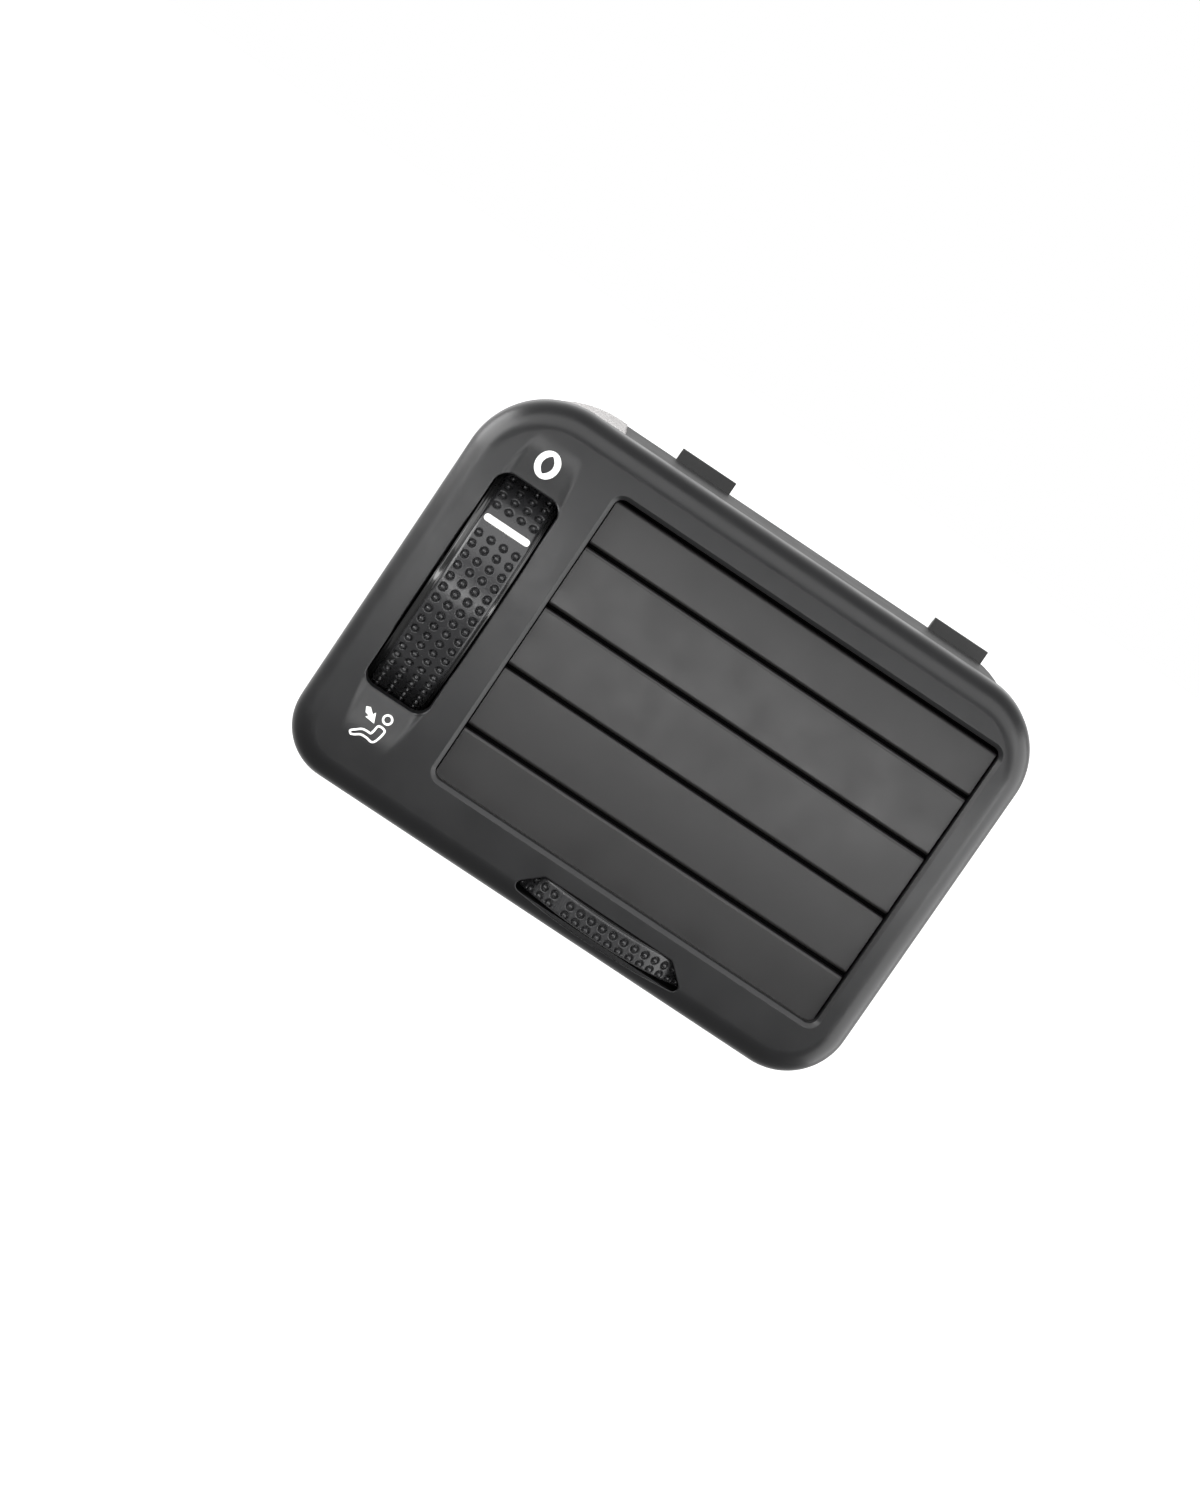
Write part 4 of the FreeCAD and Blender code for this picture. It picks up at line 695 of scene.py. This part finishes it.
def nearest(values, pitch, first, last):
    """Distance from each value to the nearest of the places first, first + pitch ... last."""
    place = np.clip(np.round((values - first) / pitch), 0, round((last - first) / pitch))
    return values - first - place * pitch


def tyre_section(low, high, radius, thick, soft, steps):
    """Closed section of a grip: outer run, rounded shoulders and straight inner side, as (along axis, radius).

    Returns the section and how much each of its points takes of the dots' height.
    """
    sine, fall = quarter(6)
    run = np.linspace(low + soft, high - soft, steps)
    right = np.column_stack([high - soft + soft * sine, radius - soft * fall])
    left = np.column_stack([low + soft - soft * sine, radius - soft * fall])[::-1]
    inner = np.array([[high, radius - thick], [low, radius - thick]])
    section = np.concatenate([left[:-1], np.column_stack([run, np.full(steps, radius)]), right[1:], inner])
    takes = np.zeros(len(section))
    takes[len(left) - 1:len(left) - 1 + steps] = 1
    return section, takes


class VENT_OT_slat_wheel(bpy.types.Operator):
    """Models the slat wheel's dotted rubber tyre, glossy shoulders and white marker bar"""
    bl_idname = "vent.slat_wheel"
    bl_label = "Slat wheel"

    def execute(self, context):
        sizes, colours = context.scene.vent_sizes, context.scene.vent_colours
        low, high, radius = FLOW_LOW[0], FLOW_HIGH[0], FLOW_AXIS[1] - FLOW_LOW[1]
        section, takes = tyre_section(low, high, radius - FLOW_SINK, thick=2.2, soft=1.0, steps=84)
        degrees = np.concatenate([np.linspace(*DOTTED_ARC, 860), np.linspace(*PLAIN_ARC, 36)])
        x, reach = section[:, 0][:, None], section[:, 1][:, None]
        columns = (low + high) / 2 + np.array([-1.5, 1.5]) * FLOW_PITCH
        across = nearest(x, FLOW_PITCH, *columns)
        from_mark = np.abs((degrees - MARK_TURN + 180) % 360 - 180)
        along = np.radians(nearest(from_mark, *FLOW_ROWS))[None] * radius
        rise = dots(across, along, sizes) * takes[:, None]
        reach = reach + rise * np.clip((PLAIN_ARC[0] - degrees) / 4, 0, 1)[None]
        tyre = band(round_axis(x, reach, np.radians(degrees)), close_rows=True)
        build("flow_grip_tyre", [tyre], rubber("slat_wheel_rubber", colours.rubber, 0.25), "flow_wheel",
              sharp=60, replaces=["flow_grip"])
        self.shoulders(low, high, radius, colours)
        self.marker(radius, colours)
        return {"FINISHED"}

    def shoulders(self, left, right, radius, colours):
        """Two rings turned about the wheel's axis: oval beads on the core's rim beside the tyre."""
        gloss = moulded("wheel_gloss", colours.gloss, rough=0.1, grain_mm=0.8, depth_mm=0.004, specular=0.6)
        turn = full_turn(24)[:, None]
        reach = radius - BEAD_SINK + BEAD_HALF * np.sin(turn)
        beads = [band(round_axis(middle + half * np.cos(turn), reach, full_turn(220)), close_rows=True)
                 for middle, half in ((left - 0.8, 0.78), (right + 0.4, 0.38))]
        build("flow_shoulder_beads", beads, gloss, "flow_wheel")

    def marker(self, radius, colours):
        """A bar bent round the wheel: an outline with round ends, domed by rings that rise and draw in."""
        rings = []
        for drawn, height in MARKER_DOME:
            x, up = rounded_polygon(MARKER, MARKER_CORNER, drawn, arc=10, side=6).T
            rings.append(round_axis(x, radius - MARKER_SINK + height, math.radians(MARK_TURN) + up / radius))
        build("flow_marker_bar", [capped(rings)], enamel("marker_white", colours.white), "flow_wheel",
              replaces=["flow_marker"])


class VENT_OT_vane_wheel(bpy.types.Operator):
    """Models the vane wheel's fan-shaped dotted grip with its smooth index bar"""
    bl_idname = "vent.vane_wheel"
    bl_label = "Vane wheel"

    def execute(self, context):
        sizes, colours = context.scene.vent_sizes, context.scene.vent_colours
        low, high, radius = SWING_LOW[2], SWING_HIGH[2], SWING_AXIS[1] - SWING_LOW[1]
        section, takes = tyre_section(low, high, radius - SWING_SINK, thick=1.2, soft=0.5, steps=40)
        degrees = np.linspace(-FAN_HALF, FAN_HALF, 760)
        z, reach = section[:, 0][:, None], section[:, 1][:, None]
        middle = (low + high) / 2 + SWING_SHIFT
        up = nearest(z, SWING_PITCH, middle - SWING_PITCH / 2, middle + SWING_PITCH / 2)
        along = np.radians(nearest(np.abs(degrees), *SWING_COLUMNS))[None] * radius
        bar = smooth_step(np.clip(BAR_HALF - np.abs(degrees) * BAR_FALL, 0, 1))
        reach = reach + takes[:, None] * (dots(up, along, sizes) + BAR_RISE * bar[None])
        angles = np.radians(FAN_TURN + degrees)
        points = np.stack([SWING_AXIS[0] + reach * np.sin(angles), SWING_AXIS[1] - reach * np.cos(angles),
                           np.broadcast_to(z, reach.shape)], -1).transpose(1, 0, 2)
        build("swing_grip_tyre", [capped(points)], rubber("vane_wheel_rubber", colours.rubber, 0.28),
              "swing_wheel", sharp=60, replaces=["swing_grip"])
        return {"FINISHED"}


# Printed symbols

# Middles (x, z) of the closed ring and of the airflow figure
RING_PLACE, FIGURE_PLACE = np.array([-57.35, 37.7]), np.array([-57.5, -35.0])


def on_scoop(points, sizes):
    """Lays flat points (x, z) on the scooped face, a print's thickness in front of it."""
    return lift(points, FACE + scoop_depth(points, sizes.scoop_soft) - sizes.print_lift)


def smooth_loop(points, count):
    """A closed curve through points: a periodic Catmull-Rom spline sampled evenly in its parameter."""
    points = np.asarray(points, float)
    place = np.linspace(0, len(points), count, endpoint=False)
    index, share = place.astype(int), (place % 1)[:, None]
    a, b, c, d = (points[(index + step) % len(points)] for step in (-1, 0, 1, 2))
    return 0.5 * (2 * b + (c - a) * share + (2 * a - 5 * b + 4 * c - d) * share ** 2
                  + (3 * b - a - 3 * c + d) * share ** 3)


def ribbon(loop, wide, sizes):
    """A printed line along a closed curve: the curve moved half a width to each side along its normals."""
    ahead = np.roll(loop, -1, 0) - np.roll(loop, 1, 0)
    ahead /= np.linalg.norm(ahead, axis=1, keepdims=True)
    normal = np.column_stack([-ahead[:, 1], ahead[:, 0]])
    return band([on_scoop(loop + normal * wide * share, sizes) for share in (-0.5, 0, 0.5)])


class VENT_OT_symbols(bpy.types.Operator):
    """Prints the closed ring above the slat wheel and the airflow figure below it"""
    bl_idname = "vent.symbols"
    bl_label = "Printed symbols"

    def execute(self, context):
        sizes, colours = context.scene.vent_sizes, context.scene.vent_colours
        white = enamel("print_white", colours.white)
        cosine, sine = np.cos(full_turn(96)), np.sin(full_turn(96))
        outer = np.column_stack([2.95 * cosine, 3.5 * sine])
        eye = np.column_stack([1.4 * cosine * np.abs(cosine) ** 0.7, 2.35 * sine])
        ring = [on_scoop(RING_PLACE + outer * (1 - share) + eye * share, sizes) for share in np.linspace(0, 1, 7)]
        build("print_ring", [band(ring)], white, "vent_body")
        head = np.column_stack([cosine, sine]) * 1.05 + [2.25, 3.15]
        seat = [(1.25, 0.75), (2.3, 0.95), (3.15, 0.55), (3.1, -0.7), (2.6, -2.4), (1.9, -3.1), (0.4, -2.9),
                (-1.1, -3.0), (-2.2, -3.7), (-3.1, -4.1), (-3.6, -3.5), (-2.6, -2.6), (-1.5, -1.75),
                (-0.2, -1.55), (0.7, -1.5), (1.0, -0.5)]
        body = smooth_loop(seat, 160)
        arrow = np.array([(-3.6, 3.1), (-2.6, 3.5), (-1.3, 2.35), (-0.9, 3.1), (0.1, 0.75), (-2.5, 1.0),
                          (-1.95, 1.6), (-3.0, 1.9)])
        arrow = rounded_polygon(arrow[::-1], 0.05, arc=3, side=2)
        patches = [ribbon(FIGURE_PLACE + head, 0.52, sizes), ribbon(FIGURE_PLACE + body, 0.5, sizes),
                   (on_scoop(FIGURE_PLACE + arrow, sizes), fill(arrow))]
        build("print_airflow", patches, white, "vent_body")
        return {"FINISHED"}


# Seal and pad

SEAL_THICK, SEAL_CORNER = 3.0, 5.5
# The shell's left face, its top and the radius between them, which the pad lies on
SHELL_LEFT, SHELL_TOP, SHELL_CORNER = -73.85, 51.35, 26.0
# Points of the pad along the corner and across it
PAD_GRID = 60, 40


def squared(values):
    """Swells a circle's cosines or sines to those of a square with round corners."""
    return np.sign(values) * np.abs(values) ** 0.45


class VENT_OT_seal(bpy.types.Operator):
    """Models the foam seal round the collar's end and the felt pad on the shell's corner"""
    bl_idname = "vent.seal"
    bl_label = "Foam seal and felt pad"

    def execute(self, context):
        colours = context.scene.vent_colours
        low, high = node_box("inlet_seal")
        corners = rectangle(low[0], high[0], low[2], high[2])
        turn = full_turn(40)
        rings = []
        for outward, back in zip(squared(np.cos(turn)), squared(np.sin(turn))):
            flat = rounded_polygon(corners, SEAL_CORNER, SEAL_THICK / 2 * (1 - outward) + 0.02, arc=14, side=60)
            wave = 0.12 * np.sin(flat[:, 0] * 0.9) * np.cos(flat[:, 1] * 1.1) * (outward > 0)
            rings.append(lift(flat, (low[1] + high[1]) / 2 + ((high[1] - low[1]) / 2 - 0.15) * back + wave))
        seal = build("seal_foam_ring", [band(rings, close_rows=True)], foam("seal_foam", colours.foam),
                     "vent_body", sharp=80, replaces=["inlet_seal"])
        self.pad(colours)
        return {"FINISHED"}

    def pad(self, colours):
        """A thin strip bent over the shell's rounded top corner, with its edges drawn in and rounded.

        Along the corner it follows an arc and then the flat top; its height over the shell is a rounded box's.
        """
        low, high = node_box("corner_pad")
        x, y = (np.linspace(low[axis], high[axis], PAD_GRID[axis]) for axis in (0, 1))
        lean = np.minimum(x - SHELL_LEFT - SHELL_CORNER, 0) / SHELL_CORNER
        rise = np.sqrt(np.maximum(1 - lean ** 2, 0))
        bed = SHELL_TOP + SHELL_CORNER * (rise - 1)
        from_edge = np.minimum.outer(np.minimum(x - low[0], high[0] - x), np.minimum(y - low[1], high[1] - y))
        round_edge = np.sqrt(np.clip(1 - (1 - np.clip(from_edge / 0.5, 0, 1)) ** 2, 0, 1))
        fuzz = 0.05 * np.sin(x[:, None] * 2.3 + y[None] * 1.1) * np.sin(y[None] * 2.9)

        def sheet(height):
            """Points at a height over the bed, along its outward direction."""
            return np.stack([x[:, None] + lean[:, None] * height, np.broadcast_to(y, PAD_GRID),
                             bed[:, None] + rise[:, None] * height], -1).reshape(-1, 3)

        top = sheet(0.04 + (high[2] - SHELL_TOP - 0.12 + fuzz) * round_edge)
        base = sheet(np.full(PAD_GRID, 0.03))
        faces = grid_faces(*PAD_GRID)
        index = np.arange(len(top)).reshape(PAD_GRID)
        rim = np.concatenate([index[0], index[1:, -1], index[-1, -2::-1], index[-2:0:-1, 0]])
        pad = build("corner_felt", [(top, faces), (base, faces), band([top[rim], base[rim]])],
                    felt("pad_felt", colours.felt), "vent_body", sharp=70, replaces=["corner_pad"])


# Carried-over CAD pieces

class VENT_OT_cad_finishes(bpy.types.Operator):
    """Gives the slats, vanes, housing, links, wheel cores and axles their finishes"""
    bl_idname = "vent.cad_finishes"
    bl_label = "Finishes of CAD pieces"

    def execute(self, context):
        colours = context.scene.vent_colours
        slats = ["slat_%d" % index for index in range(1, 6)]
        vanes = ["vane_%d" % index for index in range(1, 7)]
        # Depth zones painted black as shade: the slats' backs, seen through the gaps between them, and the
        # housing's front part
        satin = {"mottle": 0.04, "specular": 0.46, "painted_shade": (-6.2, -5.4)}
        plain = {"mottle": 0.08, "painted_shade": (-3.2, -3.6)}
        strips = ["slat_strip_left", "slat_strip_right", "vane_strip"]
        for name, colour, rough, grain_mm, depth_mm, more, nodes in (
                ("slat_satin", colours.slats, 0.36, 0.14, 0.004, satin, slats),
                ("vane_black", colours.gloss, 0.5, 0.2, 0.01, {}, vanes),
                ("housing_plain", colours.housing, 0.52, 0.3, 0.012, plain, ["duct_housing"]),
                ("strip_plain", colours.gloss, 0.5, 0.3, 0.01, {}, strips),
                ("link_plain", colours.housing, 0.45, 0.3, 0.01, {}, ["slat_link", "vane_link"]),
                ("core_gloss", colours.gloss, 0.2, 0.5, 0.004, {}, ["flow_wheel", "swing_wheel"])):
            dress(moulded(name, colour, rough, grain_mm, depth_mm, **more), *nodes)
        dress(steel("axle_steel"), "flow_axle", "swing_axle")
        return {"FINISHED"}


# Stage

FLOOR_DEPTH = 2.0
# Strength of the light from behind, and the sensor in mm
BACKDROP, SENSOR = 0.8, 36
# The picture's width and height, and where the vent's middle is seen in it, in pixels
PICTURE, MIDDLE_SEEN = (1200, 1500), (664.3, 737.8)


class VENT_OT_stage(bpy.types.Operator):
    """Sets the pale floor, the soft lights and the camera at the photograph's angle"""
    bl_idname = "vent.stage"
    bl_label = "Stage"

    def execute(self, context):
        stage = context.scene.vent_stage
        self.floor()
        self.surroundings(context.scene, stage.ambient)
        self.light("front_strip", (0, -0.21, -0.012), (0, 0, 0.012), (1.0, 0.03), stage.front)
        self.light("high_softbox", (0, -0.24, 0.26), (0, 0, 0.02), (0.9, 0.32), stage.high)
        self.light("left_softbox", (-0.3, -0.03, 0.09), (-0.07, -0.03, 0.05), (0.4, 0.17), stage.left)
        self.light("right_softbox", (0.32, -0.04, 0.0), (0.07, -0.04, 0), (0.42, 0.5), stage.right)
        self.camera(context.scene, stage)
        return {"FINISHED"}

    def floor(self):
        """A wide flat disc far below the vent."""
        turn = full_turn(96)
        points, faces = band([np.column_stack([reach * np.cos(turn), reach * np.sin(turn),
                                               np.full(len(turn), -FLOOR_DEPTH)]) for reach in (0.01, 4.0, 30.0)])
        mesh = bpy.data.meshes.new("pale_floor")
        mesh.from_pydata(points, [], faces.tolist() + [list(range(len(turn)))])
        material, shader, place = finish_nodes("floor_paper")
        feed(shader, {"Base Color": shades(noise(place, 300, 2), (0.93, 0.93, 0.93), 1.01, 0.99),
                      "Roughness": 0.9, "Emission Color": (1, 1, 1, 1), "Emission Strength": 0.8})
        mesh.materials.append(material)
        floor = bpy.data.objects.new("pale_floor", mesh)
        bpy.context.scene.collection.objects.link(floor)
        floor.visible_diffuse = floor.visible_glossy = False

    def surroundings(self, scene, ambient):
        """White for the camera, and a light that grows from below to above and towards the back."""
        world = bpy.data.worlds.new("studio")
        scene.world = world
        world.use_nodes = True
        output, lit = (world.node_tree.nodes[name] for name in ("World Output", "Background"))
        place, rays = (add_node(output, kind, {}).outputs for kind in ("TexCoord", "LightPath"))
        parts = add_node(output, "SeparateXYZ", {0: place["Generated"]}).outputs
        upward = map_range(parts["Z"], -0.6, 0.8, ambient * 0.75, ambient)
        backward = map_range(parts["Y"], 0.45, 0.95, 0.0, BACKDROP)
        white = (1, 1, 1, 1)
        feed(lit, {"Color": white, "Strength": add_node(output, "Math", {0: upward, 1: backward}).outputs[0]})
        seen = add_node(output, "Background", {"Color": white, "Strength": 1.0})
        mix = add_node(output, "MixShader", {0: rays["Is Camera Ray"], 1: lit.outputs[0], 2: seen.outputs[0]})
        feed(output, {"Surface": mix.outputs[0]})
        scene.view_settings.view_transform = "Standard"

    def light(self, name, place, aim, size, power):
        """A soft rectangular light that looks at a point, and that the camera doesn't see."""
        data = bpy.data.lights.new(name, "AREA")
        data.shape, data.energy = "RECTANGLE", power
        data.size, data.size_y = size
        light = bpy.data.objects.new(name, data)
        light.location = place
        light.rotation_euler = (Vector(aim) - Vector(place)).to_track_quat("-Z", "Y").to_euler()
        light.visible_camera = False
        bpy.context.scene.collection.objects.link(light)

    def camera(self, scene, stage):
        """A rolled camera, moved aside so that the vent sits where the photo has it."""
        data = bpy.data.cameras.new("photo_camera")
        data.sensor_fit, data.sensor_width, data.lens = "AUTO", SENSOR, stage.lens
        data.clip_start, data.clip_end = 0.05, 60
        camera = bpy.data.objects.new("photo_camera", data)
        azimuth, elevation = stage.azimuth, stage.elevation
        back = Vector((math.sin(azimuth) * math.cos(elevation), -math.cos(azimuth) * math.cos(elevation),
                       math.sin(elevation)))
        level = (-back).to_track_quat("-Z", "Y").to_matrix()
        turned = level @ Matrix.Rotation(stage.roll, 3, "Z")
        scale = stage.distance * SENSOR / stage.lens / PICTURE[1]
        aside = turned @ Vector((MIDDLE_SEEN[0] - PICTURE[0] / 2, PICTURE[1] / 2 - MIDDLE_SEEN[1], 0)) * scale
        camera.location = Vector((0, -0.008, 0)) + back * stage.distance - aside
        camera.rotation_euler = turned.to_euler()
        scene.collection.objects.link(camera)
        scene.camera = camera


class VENT_PT_sidebar(bpy.types.Panel):
    """Lists the vent's pieces, sizes and colours in the sidebar"""
    bl_idname = "VENT_PT_sidebar"
    bl_label = "Air vent"
    bl_space_type = "VIEW_3D"
    bl_region_type = "UI"
    bl_category = "Air vent"

    def draw(self, context):
        for group in (context.scene.vent_sizes, context.scene.vent_colours, context.scene.vent_stage):
            box = self.layout.box()
            for name in group.__annotations__:
                box.prop(group, name)
        for operator in STEPS:
            self.layout.operator(operator.bl_idname)


STEPS = (VENT_OT_stage, VENT_OT_bezel, VENT_OT_slat_wheel, VENT_OT_vane_wheel, VENT_OT_symbols, VENT_OT_seal,
         VENT_OT_cad_finishes)
GROUPS = {"vent_sizes": VentSizes, "vent_colours": VentColours, "vent_stage": VentStage}


def register():
    for group in GROUPS.values():
        bpy.utils.register_class(group)
    for cls in (*STEPS, VENT_PT_sidebar):
        bpy.utils.register_class(cls)
    for name, group in GROUPS.items():
        setattr(bpy.types.Scene, name, bpy.props.PointerProperty(type=group))


def unregister():
    for name in GROUPS:
        delattr(bpy.types.Scene, name)
    for cls in (VENT_PT_sidebar, *reversed(STEPS), *GROUPS.values()):
        bpy.utils.unregister_class(cls)


def main():
    """Builds every piece in order."""
    register()
    for step in STEPS:
        getattr(bpy.ops.vent, step.bl_idname.split(".")[1])()


if __name__ == "__main__":
    main()
